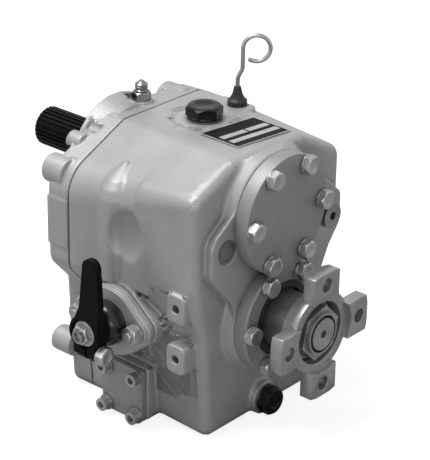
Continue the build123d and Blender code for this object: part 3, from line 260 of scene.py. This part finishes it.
def in_the_hollow(face):
    """Faces of the housing's inner walls, which nobody sees with the box closed."""
    x, y, z = face.center / mm
    front_end, aft_end = -176, -55.5
    floor_top, foot_top, foot_reach = -80.5, 22, 50.5
    port_wall, starboard_wall, roof_top = -72, 82.5, 114.5
    if not front_end < x < aft_end:
        return False
    if z <= foot_top:
        return abs(y) < foot_reach and z > floor_top
    port_slope = 89 + (y + 76.5) * 0.45
    starboard_slope = roof_top - (y - 64) * 0.49
    under_roof = min(roof_top, port_slope, starboard_slope)
    return port_wall < y < starboard_wall and z < under_roof


def seat(piece, body, finish, nodes, crease=35):
    """Fix a finished piece in its place on a body, with its finish and its nodes."""
    bpy.ops.object.select_all(action="DESELECT")
    piece.select_set(True)
    bpy.context.view_layer.objects.active = piece
    bpy.ops.object.transform_apply(location=True, rotation=True, scale=True)
    bpy.ops.object.shade_smooth_by_angle(angle=math.radians(crease))
    piece.data.materials.clear()
    piece.data.materials.append(finish)
    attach(piece, body)
    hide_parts(*nodes)
    bpy.ops.object.select_all(action="DESELECT")


def flat_block(name, low, high):
    """Block between two corners given in millimetres."""
    low, high = Vector(low) * mm, Vector(high) * mm
    bpy.ops.object.select_all(action="DESELECT")
    bpy.ops.mesh.primitive_cube_add(size=1, location=(low + high) / 2, scale=high - low)
    bpy.context.object.name = name
    bpy.ops.object.transform_apply(location=True, scale=True)
    return bpy.context.object


def join_pieces(name, pieces):
    """Join pieces that are one body of metal or one set, under one name."""
    bpy.ops.object.select_all(action="DESELECT")
    for piece in pieces:
        piece.select_set(True)
    bpy.context.view_layer.objects.active = pieces[0]
    bpy.ops.object.join()
    pieces[0].name = name
    return pieces[0]


def draw_outline(name, points):
    """Draw one vertex on from point to point, as the outline of a piece, in edit mode."""
    bpy.ops.object.select_all(action="DESELECT")
    bpy.ops.mesh.primitive_plane_add(size=mm)
    piece = bpy.context.object
    piece.name = name
    bpy.ops.object.mode_set(mode="EDIT")
    bpy.ops.mesh.select_mode(type="VERT")
    bpy.ops.mesh.select_all(action="SELECT")
    bpy.ops.mesh.merge(type="CENTER")
    bpy.ops.transform.translate(value=Vector(points[0]))
    for before, after in zip(points, points[1:]):
        step = Vector(after) - Vector(before)
        bpy.ops.mesh.extrude_region_move(TRANSFORM_OT_translate={"value": step})
    return piece


def combine(piece, other, how):
    """Cut one piece with another, or keep what they share, and throw the other away."""
    bpy.ops.object.select_all(action="DESELECT")
    piece.select_set(True)
    bpy.context.view_layer.objects.active = piece
    bpy.ops.object.modifier_add(type="BOOLEAN")
    piece.modifiers[-1].operation = how
    piece.modifiers[-1].object = other
    bpy.ops.object.modifier_apply(modifier=piece.modifiers[-1].name)
    bpy.data.objects.remove(other)


def turn_piece(name, outline, centre, axis, steps=96):
    """Turn an outline of (along, radius) steps in millimetres about an axis, as on a lathe."""
    centre, axis = Vector(centre) * mm, Vector(axis)
    side = Vector((0, 0, 1)) if abs(axis.z) < 0.9 else Vector((1, 0, 0))
    side = axis.cross(side).normalized()
    piece = draw_outline(name, [centre + axis * (a * mm) + side * (r * mm) for a, r in outline])
    bpy.ops.mesh.select_all(action="SELECT")
    bpy.ops.mesh.spin(steps=steps, angle=2 * math.pi, center=centre, axis=axis)
    bpy.ops.mesh.select_all(action="SELECT")
    bpy.ops.mesh.remove_doubles(threshold=0.002 * mm)
    bpy.ops.mesh.normals_make_consistent(inside=False)
    bpy.ops.object.mode_set(mode="OBJECT")
    return piece


silver_paint = cast_paint("silver_cast_paint", 0.46)
housing = sound_copy("main_housing", "housing_casting")

# The seat of the filler plug is a low turned boss that runs out into the roof.
deck_z = 122.0
filler_x, filler_y = -131.0, 18.0
filler_seat = turn_piece(
    "filler_seat",
    [(-6, 0), (-6, 24), (-1.8, 22.5), (0.4, 17.5), (0.4, 13.9), (-0.4, 13.4), (-0.4, 0)],
    (filler_x, filler_y, deck_z), (0, 0, 1),
)

# The upright column on the port wall starts as a straight bar and runs out to a point
# on the roof. A lens-shaped hollow for a spanner is cut beside it.
shoulder_radius = 25.6
shoulder_y, shoulder_z = -50.5, 80.8
shoulder = [(-95, 25), (-76.1, 25), (-76.1, shoulder_z)]
shoulder += [
    (
        shoulder_y + shoulder_radius * math.cos(math.radians(a)),
        shoulder_z + shoulder_radius * math.sin(math.radians(a)),
    )
    for a in range(174, 113, -6)
]
shoulder += [(-52, 108.3), (-52, 135), (-95, 135), (-95, 25)]
shoulder_start_x = -142
shoulder_run = Vector((28.5, 0.36, 3.67)) * mm
wall_shape = draw_outline(
    "wall_shape", [Vector((shoulder_start_x, y, z)) * mm for y, z in shoulder]
)
bpy.ops.mesh.select_all(action="SELECT")
bpy.ops.mesh.remove_doubles(threshold=0.002 * mm)
bpy.ops.mesh.edge_face_add()
bpy.ops.mesh.extrude_region_move(TRANSFORM_OT_translate={"value": shoulder_run})
bpy.ops.mesh.select_all(action="SELECT")
bpy.ops.mesh.normals_make_consistent(inside=False)
bpy.ops.object.mode_set(mode="OBJECT")
combine(housing, wall_shape, "DIFFERENCE")

column_radius, column_height = 12.5, 64
column_middle = (-136, -68.3, 56)
runout = (((-0.3, 1.4, 7), 0.94), ((-0.7, 3.2, 6), 0.80), ((-2, 8.7, 8.5), 0.12))
bpy.ops.mesh.primitive_cylinder_add(
    vertices=64, radius=column_radius * mm, depth=column_height * mm,
    location=Vector(column_middle) * mm,
)
column = bpy.context.object
column.name = "column"
bpy.ops.object.transform_apply(location=True)
select_faces(column, lambda face: face.normal.z > 0.9)
for lean, narrow in runout:
    bpy.ops.mesh.extrude_region_move(TRANSFORM_OT_translate={"value": Vector(lean) * mm})
    bpy.ops.transform.resize(value=(narrow, narrow, narrow))
bpy.ops.object.mode_set(mode="OBJECT")
wall_patch = flat_block("wall_patch", (-131, -75.8, 24), (-101, -66, 84))
lens_centre, lens_radii = (-118.5, -79.3, 65), (14, 7.6, 23)
for piece in (housing, column, wall_patch):
    bpy.ops.object.select_all(action="DESELECT")
    bpy.ops.mesh.primitive_uv_sphere_add(
        segments=48, ring_count=24, radius=1, location=Vector(lens_centre) * mm,
        scale=Vector(lens_radii) * mm,
    )
    bpy.ops.object.transform_apply(location=True, scale=True)
    combine(piece, bpy.context.object, "DIFFERENCE")
housing = join_pieces("housing_casting", [housing, column, wall_patch, filler_seat])
soften_casting(housing, voxel=1.4, rounds=6)
select_faces(housing, in_the_hollow)
bpy.ops.mesh.decimate(ratio=0.35)
bpy.ops.object.mode_set(mode="OBJECT")
seat(housing, "casing", silver_paint, ["main_housing"], crease=60)

# Input cover: the engine-side casting with its lugs, screw pockets and the round
# boss about the input shaft. Same alloy, same paint, a machined joint to the housing.
cover_end = sound_copy("input_cover", "input_cover_casting")
machined_flat = flat_block("machined_flat", (-197.0, -77.2, 35.0), (-177.2, -72.0, 73.0))
cover_end = join_pieces("input_cover_casting", [cover_end, machined_flat])
soften_casting(cover_end, voxel=1.2, rounds=2)
seat(cover_end, "casing", silver_paint, ["input_cover"], crease=60)


# Joint sheets: oiled paper gaskets cut with a knife, seen only as a thin dark line
# along each joint.
def paper(name, tone):
    """Fibrous oiled paper."""
    sheet = bpy.data.materials.new(name)
    sheet.use_nodes = True
    nodes, links = sheet.node_tree.nodes, sheet.node_tree.links
    place = nodes.new("ShaderNodeTexCoord")
    fibre = nodes.new("ShaderNodeTexNoise")
    fibre.inputs["Scale"].default_value = 2600
    fibre.inputs["Detail"].default_value = 6
    links.new(place.outputs["Object"], fibre.inputs["Vector"])
    tones = nodes.new("ShaderNodeValToRGB")
    tones.color_ramp.elements[0].color = (tone * 0.6, tone * 0.6, tone * 0.58, 1)
    tones.color_ramp.elements[1].color = (tone * 1.3, tone * 1.3, tone * 1.25, 1)
    links.new(fibre.outputs["Fac"], tones.inputs["Fac"])
    links.new(tones.outputs["Color"], nodes["Principled BSDF"].inputs["Base Color"])
    nodes["Principled BSDF"].inputs["Roughness"].default_value = 0.8
    rough = nodes.new("ShaderNodeBump")
    rough.inputs["Strength"].default_value = 0.3
    rough.inputs["Distance"].default_value = 0.1 * mm
    links.new(fibre.outputs["Fac"], rough.inputs["Height"])
    links.new(rough.outputs["Normal"], nodes["Principled BSDF"].inputs["Normal"])
    return sheet


gasket_paper = paper("gasket_paper", 0.22)


def dress(node, finish):
    """Keep a solid as it is and give it its finish."""
    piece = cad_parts[node]
    piece.data.materials.clear()
    piece.data.materials.append(finish)
    bpy.ops.object.select_all(action="DESELECT")
    piece.select_set(True)
    bpy.context.view_layer.objects.active = piece
    bpy.ops.object.shade_smooth_by_angle(angle=math.radians(35))
    bpy.ops.object.select_all(action="DESELECT")


for sheet_name in ("casing_gasket", "upper_gasket", "lower_gasket", "shift_gasket", "side_gasket"):
    dress(sheet_name, gasket_paper)


# Upper cover: a thick aluminium disc over the input shaft's aft bearing, turned on
# its rim and cut off straight where it meets the lower cover.
def bright_metal(name, tone, rough, metallic=1.0, wear=0.25, sheen=0.5):
    """Bare or plated metal with fine tool marks, smudges, and painted shade in hollows and
    creases.
    """
    metal = bpy.data.materials.new(name)
    metal.use_nodes = True
    nodes, links = metal.node_tree.nodes, metal.node_tree.links
    skin = nodes["Principled BSDF"]
    skin.inputs["Metallic"].default_value = metallic
    skin.inputs["Specular IOR Level"].default_value = sheen
    place = nodes.new("ShaderNodeTexCoord")
    marks = nodes.new("ShaderNodeTexNoise")
    marks.inputs["Scale"].default_value = 900
    marks.inputs["Detail"].default_value = 4
    links.new(place.outputs["Object"], marks.inputs["Vector"])
    smudge = nodes.new("ShaderNodeTexNoise")
    smudge.inputs["Scale"].default_value = 60
    smudge.inputs["Detail"].default_value = 5
    links.new(place.outputs["Object"], smudge.inputs["Vector"])
    tones = nodes.new("ShaderNodeValToRGB")
    tones.color_ramp.elements[0].position = 0.3
    worn = tone * (1 - wear)
    tones.color_ramp.elements[0].color = (worn, worn, worn, 1)
    tones.color_ramp.elements[1].position = 0.7
    tones.color_ramp.elements[1].color = (tone * 1.08, tone * 1.08, tone * 1.07, 1)
    links.new(smudge.outputs["Fac"], tones.inputs["Fac"])
    # Painted shade: ambient occlusion darkens the metal colour in hollows and creases.
    hollow = nodes.new("ShaderNodeAmbientOcclusion")
    hollow.inputs["Distance"].default_value = 3 * mm
    hollow.samples = 8
    shaded = nodes.new("ShaderNodeMix")
    shaded.data_type = "RGBA"
    shaded.blend_type = "MULTIPLY"
    shaded.inputs["Factor"].default_value = 0.6
    links.new(tones.outputs["Color"], shaded.inputs["A"])
    links.new(hollow.outputs["Color"], shaded.inputs["B"])
    links.new(shaded.outputs["Result"], skin.inputs["Base Color"])
    gloss = nodes.new("ShaderNodeMapRange")
    gloss.inputs["To Min"].default_value = rough * 0.75
    gloss.inputs["To Max"].default_value = rough * 1.35
    links.new(marks.outputs["Fac"], gloss.inputs["Value"])
    links.new(gloss.outputs["Result"], skin.inputs["Roughness"])
    scratch = nodes.new("ShaderNodeBump")
    scratch.inputs["Strength"].default_value = 0.12
    scratch.inputs["Distance"].default_value = 0.1 * mm
    links.new(marks.outputs["Fac"], scratch.inputs["Height"])
    links.new(scratch.outputs["Normal"], skin.inputs["Normal"])
    return metal


shaft_gap = 81.6
pad_x = -48.5
cover_joint = pad_x + 0.5
chord = 39.3
upper_radius = 44.0
upper_depth = 11.0
cover_metal = cast_paint("machined_cover_alloy", 0.36, coarse=1.6)
upper_cover = turn_piece(
    "upper_cover_disc",
    [(0, 0), (0, upper_radius), (upper_depth - 1.2, upper_radius),
     (upper_depth - 0.35, upper_radius - 0.35), (upper_depth, upper_radius - 1.2),
     (upper_depth, 0)],
    (cover_joint, 0, shaft_gap), (1, 0, 0), steps=128,
)
bpy.ops.object.mode_set(mode="EDIT")
bpy.ops.mesh.select_all(action="SELECT")
bpy.ops.mesh.bisect(
    plane_co=(0, 0, (chord + 0.2) * mm), plane_no=(0, 0, 1), clear_inner=True, use_fill=True
)
bpy.ops.object.mode_set(mode="OBJECT")
seat(upper_cover, "casing", cover_metal, ["upper_cover"])

# Lower cover: the ring that closes the output bearing and carries the oil seal,
# flattened at its top against the upper cover.
lower_radius = 42.0
lower_depth = 9.5
seal_pocket = 28.0
lip_radius = 22.5
lower_cover = turn_piece(
    "lower_cover_ring",
    [(0, lip_radius), (0, lower_radius), (lower_depth - 1.0, lower_radius),
     (lower_depth, lower_radius - 1.0), (lower_depth, seal_pocket + 0.8),
     (lower_depth - 0.8, seal_pocket), (2.0, seal_pocket), (2.0, lip_radius), (0, lip_radius)],
    (cover_joint, 0, 0), (1, 0, 0), steps=128,
)
bpy.ops.object.mode_set(mode="EDIT")
bpy.ops.mesh.select_all(action="SELECT")
bpy.ops.mesh.bisect(
    plane_co=(0, 0, (chord - 0.9) * mm), plane_no=(0, 0, 1), clear_outer=True, use_fill=True
)
bpy.ops.object.mode_set(mode="OBJECT")
seat(lower_cover, "casing", cover_metal, ["lower_cover"])


# Oil seals and other rubber: moulded black rubber with a matt bloom.
def black_rubber(name, tone):
    """Matt moulded rubber with a faint grey bloom."""
    rubber = bpy.data.materials.new(name)
    rubber.use_nodes = True
    nodes, links = rubber.node_tree.nodes, rubber.node_tree.links
    place = nodes.new("ShaderNodeTexCoord")
    bloom = nodes.new("ShaderNodeTexNoise")
    bloom.inputs["Scale"].default_value = 160
    bloom.inputs["Detail"].default_value = 6
    links.new(place.outputs["Object"], bloom.inputs["Vector"])
    tones = nodes.new("ShaderNodeValToRGB")
    tones.color_ramp.elements[0].position = 0.4
    tones.color_ramp.elements[0].color = (tone, tone, tone, 1)
    tones.color_ramp.elements[1].position = 0.8
    tones.color_ramp.elements[1].color = (tone * 2.2, tone * 2.2, tone * 2.2, 1)
    links.new(bloom.outputs["Fac"], tones.inputs["Fac"])
    links.new(tones.outputs["Color"], nodes["Principled BSDF"].inputs["Base Color"])
    nodes["Principled BSDF"].inputs["Roughness"].default_value = 0.5
    skin_bump = nodes.new("ShaderNodeBump")
    skin_bump.inputs["Strength"].default_value = 0.1
    skin_bump.inputs["Distance"].default_value = 0.2 * mm
    links.new(bloom.outputs["Fac"], skin_bump.inputs["Height"])
    links.new(skin_bump.outputs["Normal"], nodes["Principled BSDF"].inputs["Normal"])
    return rubber


seal_rubber = black_rubber("seal_rubber", 0.012)
dress("output_seal", seal_rubber)
dress("input_seal", seal_rubber)

# Cover bolts: zinc-plated hexagon bolts on plain washers, six to each cover. The
# head's corners are turned off by a cone and its top carries a shallow dish.
zinc = bright_metal("bright_zinc", 0.56, 0.36, metallic=0.9, wear=0.3)
bolt_flats = 13.0
head_height = 5.3
washer_depth = 1.6
washer_outer, washer_inner = 7.0, 4.1
upper_circle, upper_turn = 75.4, 17
lower_circle, lower_turn = 73.0, 11


def hex_piece(name, flats, height, centre, axis, turn=0.0, chamfer=1.1, dish=0.4):
    """Hexagon bar along an axis, its far corners turned off by a cone, with a dished top."""
    centre, axis = Vector(centre) * mm, Vector(axis)
    bpy.ops.object.select_all(action="DESELECT")
    bpy.ops.mesh.primitive_cylinder_add(
        vertices=6, radius=flats / math.sqrt(3) * mm, depth=height * mm,
        location=(0, 0, height / 2 * mm),
    )
    piece = bpy.context.object
    piece.name = name
    bpy.ops.object.transform_apply(location=True)
    cone = turn_piece(
        name + "_cutter",
        [(-1, 0), (-1, flats), (height - chamfer - 0.9, flats * 0.60),
         (height - 0.15, flats * 0.49), (height, flats * 0.47), (height, flats * 0.30),
         (height - dish, flats * 0.24), (height - dish, 0)],
        (0, 0, 0), (0, 0, 1),
    )
    combine(piece, cone, "INTERSECT")
    aimed = axis.to_track_quat("Z", "Y").to_matrix().to_4x4()
    spun = aimed @ Matrix.Rotation(math.radians(turn), 4, "Z")
    piece.matrix_world = Matrix.Translation(centre) @ spun
    bpy.ops.object.transform_apply(location=True, rotation=True)
    return piece


def washer(name, outer, inner, depth, centre, axis):
    """Stamped washer with rounded rims."""
    return turn_piece(
        name,
        [(0, inner), (0, outer - 0.3), (0.3, outer), (depth - 0.3, outer),
         (depth, outer - 0.3), (depth, inner), (0, inner)],
        centre, axis, steps=64,
    )


def bolt_places(circle, height):
    """Six places on a bolt circle, as Y and Z in millimetres."""
    return [
        (
            circle / 2 * math.cos(math.radians(k * 60)),
            height + circle / 2 * math.sin(math.radians(k * 60)),
        )
        for k in range(6)
    ]


cover_bolts = [
    ("upper", upper_depth, bolt_places(upper_circle, shaft_gap), upper_turn),
    ("lower", lower_depth, bolt_places(lower_circle, 0), lower_turn),
]
for row, depth, places, step in cover_bolts:
    for number, (y, z) in enumerate(places):
        seat_x = cover_joint + depth
        ring = washer(
            "ring", washer_outer, washer_inner, washer_depth, (seat_x, y, z), (1, 0, 0)
        )
        head = hex_piece(
            "head", bolt_flats, head_height, (seat_x + washer_depth, y, z), (1, 0, 0),
            turn=17 + number * step,
        )
        bolt = join_pieces(f"{row}_cover_bolt_{number + 1}", [head, ring])
        seat(bolt, "casing", zinc, [f"{row}_cover_bolts"])

# Plugs in the aft pad: a plain core plug pressed in to port, and a socket plug in
# line with the idler's pin to starboard. Both are dull machined steel.
dull_steel = bright_metal("dull_steel", 0.34, 0.42)
dress("core_plug", dull_steel)
dress("bore_plug", dull_steel)

# Drain plug: dark oxide steel hexagon with a collar, on a soft copper ring, low in
# the aft face.
dark_oxide = bright_metal("dark_oxide", 0.035, 0.30, metallic=0.85, wear=0.5)
drain_seat = -52.5
drain_z = -71.5
drain_flats = 19.0
drain_collar = turn_piece(
    "collar", [(0, 0), (0, 11), (1.1, 11), (1.6, 10.4), (1.6, 0)],
    (drain_seat + 1.5, 0, drain_z), (1, 0, 0),
)
drain_head = hex_piece(
    "head", drain_flats, 8.0, (drain_seat + 1.6, 0, drain_z), (1, 0, 0),
    turn=28, chamfer=1.6, dish=0.8,
)
drain_shank = turn_piece(
    "shank", [(0, 0), (0, 7), (4, 7), (4, 0)], (drain_seat - 2.4, 0, drain_z), (1, 0, 0)
)
drain_plug = join_pieces("drain_plug_steel", [drain_head, drain_collar, drain_shank])
seat(drain_plug, "casing", dark_oxide, ["drain_plug"])
copper = bright_metal("soft_copper", 0.30, 0.45)
dress("drain_ring", copper)
dress("filler_ring", copper)

# Filler plug: a large dark oxide hexagon on a round collar, screwed in the deck on
# the roof, with a chamfered top and a shallow dish.
filler_flats = 24.0
filler_collar = turn_piece(
    "collar", [(0, 0), (0, 13.0), (1.5, 13.0), (2.0, 12.4), (2.0, 0)],
    (filler_x, filler_y, deck_z + 1.5), (0, 0, 1),
)
filler_head = hex_piece(
    "head", filler_flats, 7.2, (filler_x, filler_y, deck_z + 3.3), (0, 0, 1),
    turn=20, chamfer=1.2, dish=0.6,
)
filler_plug = join_pieces("filler_plug_steel", [filler_head, filler_collar])
seat(filler_plug, "casing", dark_oxide, ["filler_plug"])

# Name plate: an aluminium sheet printed black, with a bare bright rim and three
# blank bright fields, stuck to the slope of the roof.
plate_place = Vector((-90.0, 15.5, 123.3)) * mm
plate_normal = Vector((-0.0418, 0.0332, 1)).normalized()
plate_turn = -6
plate_length, plate_width, plate_depth, plate_rim = 52.0, 38.0, 0.8, 0.9
blank_fields = [(-4.4, 1.1, -22.0, 1.5), (-4.4, 1.1, 3.0, 23.0), (5.9, 11.4, -22.3, 23.4)]
bare_sheet = bright_metal("bare_sheet", 0.62, 0.35, wear=0.15)
plate_black = bright_metal("plate_black", 0.004, 0.5, metallic=0.0, wear=0.3, sheen=0.1)
sheet = flat_block(
    "sheet",
    (-plate_width / 2, -plate_length / 2, 0),
    (plate_width / 2, plate_length / 2, plate_depth),
)
select_faces(sheet, lambda face: face.normal.z > 0.9)
bpy.ops.mesh.inset(thickness=plate_rim * mm, depth=-0.08 * mm)
bpy.ops.object.mode_set(mode="OBJECT")
fields = [
    flat_block("field", (front, port, plate_depth - 0.2), (aft, starboard, plate_depth - 0.03))
    for front, aft, port, starboard in blank_fields
]
plate = join_pieces("name_plate_sheet", [sheet] + fields)
tipped = Vector((0, 0, 1)).rotation_difference(plate_normal).to_matrix().to_4x4()
swung = Matrix.Rotation(math.radians(plate_turn), 4, "Z")
plate.matrix_world = Matrix.Translation(plate_place) @ tipped @ swung
seat(plate, "casing", bare_sheet, ["name_plate"])
plate.data.materials.append(plate_black)
for face in plate.data.polygons:
    if face.area > 0.8 * plate_length * plate_width * mm * mm and face.normal.z > 0:
        face.material_index = 1

# Dipstick: a bright wire with a finger loop, and the rubber stopper that closes its
# hole in the deck.
bright_wire = bright_metal("bright_wire", 0.5, 0.3, wear=0.3)
dress("dipstick_wire", bright_wire)
dress("dipstick_stopper", seal_rubber)

# Breather: a plated hexagon body screwed in the end cover, with a loose cap over its
# vent, turned with a groove and a pointed crown.
breather_place = (-190.0, 15.0, 121.5)
breather_flats = 12.6
breather_hexagon = hex_piece(
    "breather_hexagon", breather_flats, 6.5, breather_place, (0, 0, 1),
    turn=15, chamfer=0.9, dish=0,
)
breather_neck = turn_piece(
    "neck", [(6.0, 0), (6.0, 5.0), (7.6, 5.0), (8.4, 4.2), (8.4, 2.4), (11, 2.4), (11, 0)],
    breather_place, (0, 0, 1), steps=48,
)
breather_thread = turn_piece(
    "thread", [(-5, 0), (-5, 4.9), (0.5, 4.9), (0.5, 0)], breather_place, (0, 0, 1), steps=48
)
bright_fitting = bright_metal("bright_fitting", 0.34, 0.16, wear=0.4)
breather = join_pieces("breather_steel", [breather_hexagon, breather_neck, breather_thread])
seat(breather, "casing", bright_fitting, ["breather_body"])
cap = turn_piece(
    "breather_cap_turned",
    [(8.8, 2.6), (8.8, 4.4), (9.4, 4.8), (10.4, 4.8), (10.7, 4.4), (11.2, 4.4), (11.5, 4.8),
     (12.2, 4.8), (13.6, 3.0), (14.2, 2.0), (14.9, 1.6), (15.0, 0), (13, 0), (13, 2.6),
     (8.8, 2.6)],
    breather_place, (0, 0, 1), steps=48,
)
seat(cap, "vent_cap", bright_fitting, ["breather_cap"])

# Shift cover: a rhombic aluminium flange on two studs, which carries the lever shaft,
# with a rubber boot outside it.
shift_casting = sound_copy("shift_cover", "shift_cover_casting")
soften_casting(shift_casting, voxel=0.7, rounds=3)
seat(shift_casting, "casing", silver_paint, ["shift_cover"], crease=60)

# Boot: a moulded black dome that keeps dirt off the lever shaft, with a lip where it
# sits on the shift cover.
shift_x, shift_z = -127.6, -1.5
cover_face_y = -86.0
boot_gloss = black_rubber("boot_rubber", 0.010)
boot_gloss.node_tree.nodes["Principled BSDF"].inputs["Roughness"].default_value = 0.22
dome = [(0, 8.1), (0, 16.8), (1.2, 16.8), (1.7, 16.2), (5.0, 16.4)]
dome += [
    (5.05 + 8.4 * math.sin(math.radians(a)), 8.0 + 8.4 * math.cos(math.radians(a)))
    for a in range(0, 91, 10)
]
dome += [(13.45, 8.1), (0, 8.1)]
boot = turn_piece("boot_dome", dome, (shift_x, cover_face_y, shift_z), (0, -1, 0))
seat(boot, "casing", boot_gloss, ["shift_boot"])


# Studs and nuts of the shift cover: plated, the studs with rolled threads.
def threaded_end(name, radius, start, end, pitch, centre, axis):
    """Length of thread with a chamfered end, cut as ridges."""
    outline = [(start, 0), (start, radius - 0.5 * pitch)]
    for ridge in range(int((end - start - 1) / pitch)):
        at = start + ridge * pitch
        outline += [(at + 0.5 * pitch, radius), (at + pitch, radius - 0.5 * pitch)]
    outline += [(end - 0.6, radius - 0.3), (end, radius - 0.9), (end, 0)]
    return turn_piece(name, outline, centre, axis, steps=40)


stud_reach = 26.0
stud_radius, stud_pitch = 3.98, 1.25
for side, number in ((-1, 1), (1, 2)):
    stud_x = shift_x + side * stud_reach
    stud = threaded_end(
        f"shift_stud_{number}", stud_radius, -18, 10, stud_pitch,
        (stud_x, cover_face_y, shift_z), (0, -1, 0),
    )
    seat(stud, "casing", zinc, ["shift_studs"])
    nut = hex_piece(
        "nut", bolt_flats, 6.5, (stud_x, cover_face_y - washer_depth, shift_z), (0, -1, 0),
        turn=12, dish=0,
    )
    ring = washer(
        "ring", washer_outer, washer_inner, washer_depth,
        (stud_x, cover_face_y, shift_z), (0, -1, 0),
    )
    nut = join_pieces(f"shift_nut_{number}", [nut, ring])
    seat(nut, "casing", zinc, ["shift_nuts"])


# Side cover: a small ground plate low on the port side, with its sharp edges broken,
# held by four socket cap screws.
def break_edges(piece, width):
    """Join up the flats of a solid and round its sharp edges by a small width."""
    bpy.ops.object.mode_set(mode="EDIT")
    bpy.ops.mesh.select_all(action="SELECT")
    bpy.ops.mesh.dissolve_limited(angle_limit=math.radians(1))
    bpy.ops.object.mode_set(mode="OBJECT")
    bpy.ops.object.modifier_add(type="BEVEL")
    piece.modifiers[-1].width = width * mm
    piece.modifiers[-1].segments = 2
    piece.modifiers[-1].limit_method = "ANGLE"
    piece.modifiers[-1].angle_limit = math.radians(30)
    bpy.ops.object.modifier_apply(modifier=piece.modifiers[-1].name)


side_plate = sound_copy("side_cover", "side_cover_plate")
break_edges(side_plate, 0.5)
seat(side_plate, "casing", cover_metal, ["side_cover"])
dress("side_cover_screws", zinc)
dress("case_screws", zinc)

# Hand lever: a casting painted black, with soft edges, clamped on the lever shaft by
# its bolt and held by a nut on a broad washer.
lever_black = bright_metal("lever_black", 0.003, 0.38, metallic=0.0, wear=0.4, sheen=0.1)
hand_lever = sound_copy("lever", "lever_casting")
soften_casting(hand_lever, voxel=0.55, rounds=3)
seat(hand_lever, "lever", lever_black, ["lever"], crease=50)
lever_seat_y = -109.8
ring = washer("ring", 9.7, 5.0, washer_depth, (shift_x, lever_seat_y, shift_z), (0, -1, 0))
nut = hex_piece(
    "nut", bolt_flats, 5.0, (shift_x, lever_seat_y - washer_depth, shift_z), (0, -1, 0),
    turn=20, dish=0,
)
lever_nut = join_pieces("lever_nut_steel", [nut, ring])
seat(lever_nut, "lever", zinc, ["lever_nut"])
clamp_x, clamp_y, clamp_z = shift_x + 11.2, -106.3, shift_z - 14.7
ring = washer(
    "ring", washer_outer, washer_inner, washer_depth, (clamp_x, clamp_y, clamp_z), (1, 0, 0)
)
head = hex_piece(
    "head", bolt_flats, head_height, (clamp_x + washer_depth, clamp_y, clamp_z), (1, 0, 0), turn=10
)
shank = turn_piece(
    "shank", [(-16.5, 0), (-16.5, 3.9), (0.5, 3.9), (0.5, 0)],
    (clamp_x, clamp_y, clamp_z), (1, 0, 0),
)
clamp_bolt = join_pieces("clamp_bolt_steel", [head, ring, shank])
seat(clamp_bolt, "lever", zinc, ["clamp_bolt"])

# Input shaft: alloy steel with the engine's spline, blackened and oiled.
blackened_steel = bright_metal("blackened_steel", 0.006, 0.36, metallic=0.3, wear=0.4, sheen=0.15)
dress("input_shaft", blackened_steel)

# Output coupling: four-arm flange machined from a steel forging, its edges broken,
# held on the shaft by a large chamfered nut sunk in its middle.
machined_steel = bright_metal("machined_steel", 0.44, 0.36, metallic=0.75)
coupling = sound_copy("output_flange", "coupling_flange")
break_edges(coupling, 0.5)
seat(coupling, "output", machined_steel, ["output_flange"])
dress("flange_nut", machined_steel)
dress("output_shaft", machined_steel)

# Inner pieces: ground gears, shafts and clutch, oiled, with bronze bushes and
# polished bearings.
gear_steel = bright_metal("gear_steel", 0.40, 0.28)
bronze = bright_metal("bronze", 0.30, 0.35)
for inner in (
    "forward_pinion", "idler_gear", "forward_gear", "reverse_gear", "idler_pin",
    "idler_retainer", "snap_rings", "clutch_sleeve", "lever_shaft", "crank_pin",
    "input_bearing_outers", "input_bearing_inners", "output_front_bearing_outer",
    "output_aft_bearing_outer", "output_bearing_inners",
):
    dress(inner, gear_steel)
for bush in ("idler_bush", "forward_bush", "reverse_bush"):
    dress(bush, bronze)
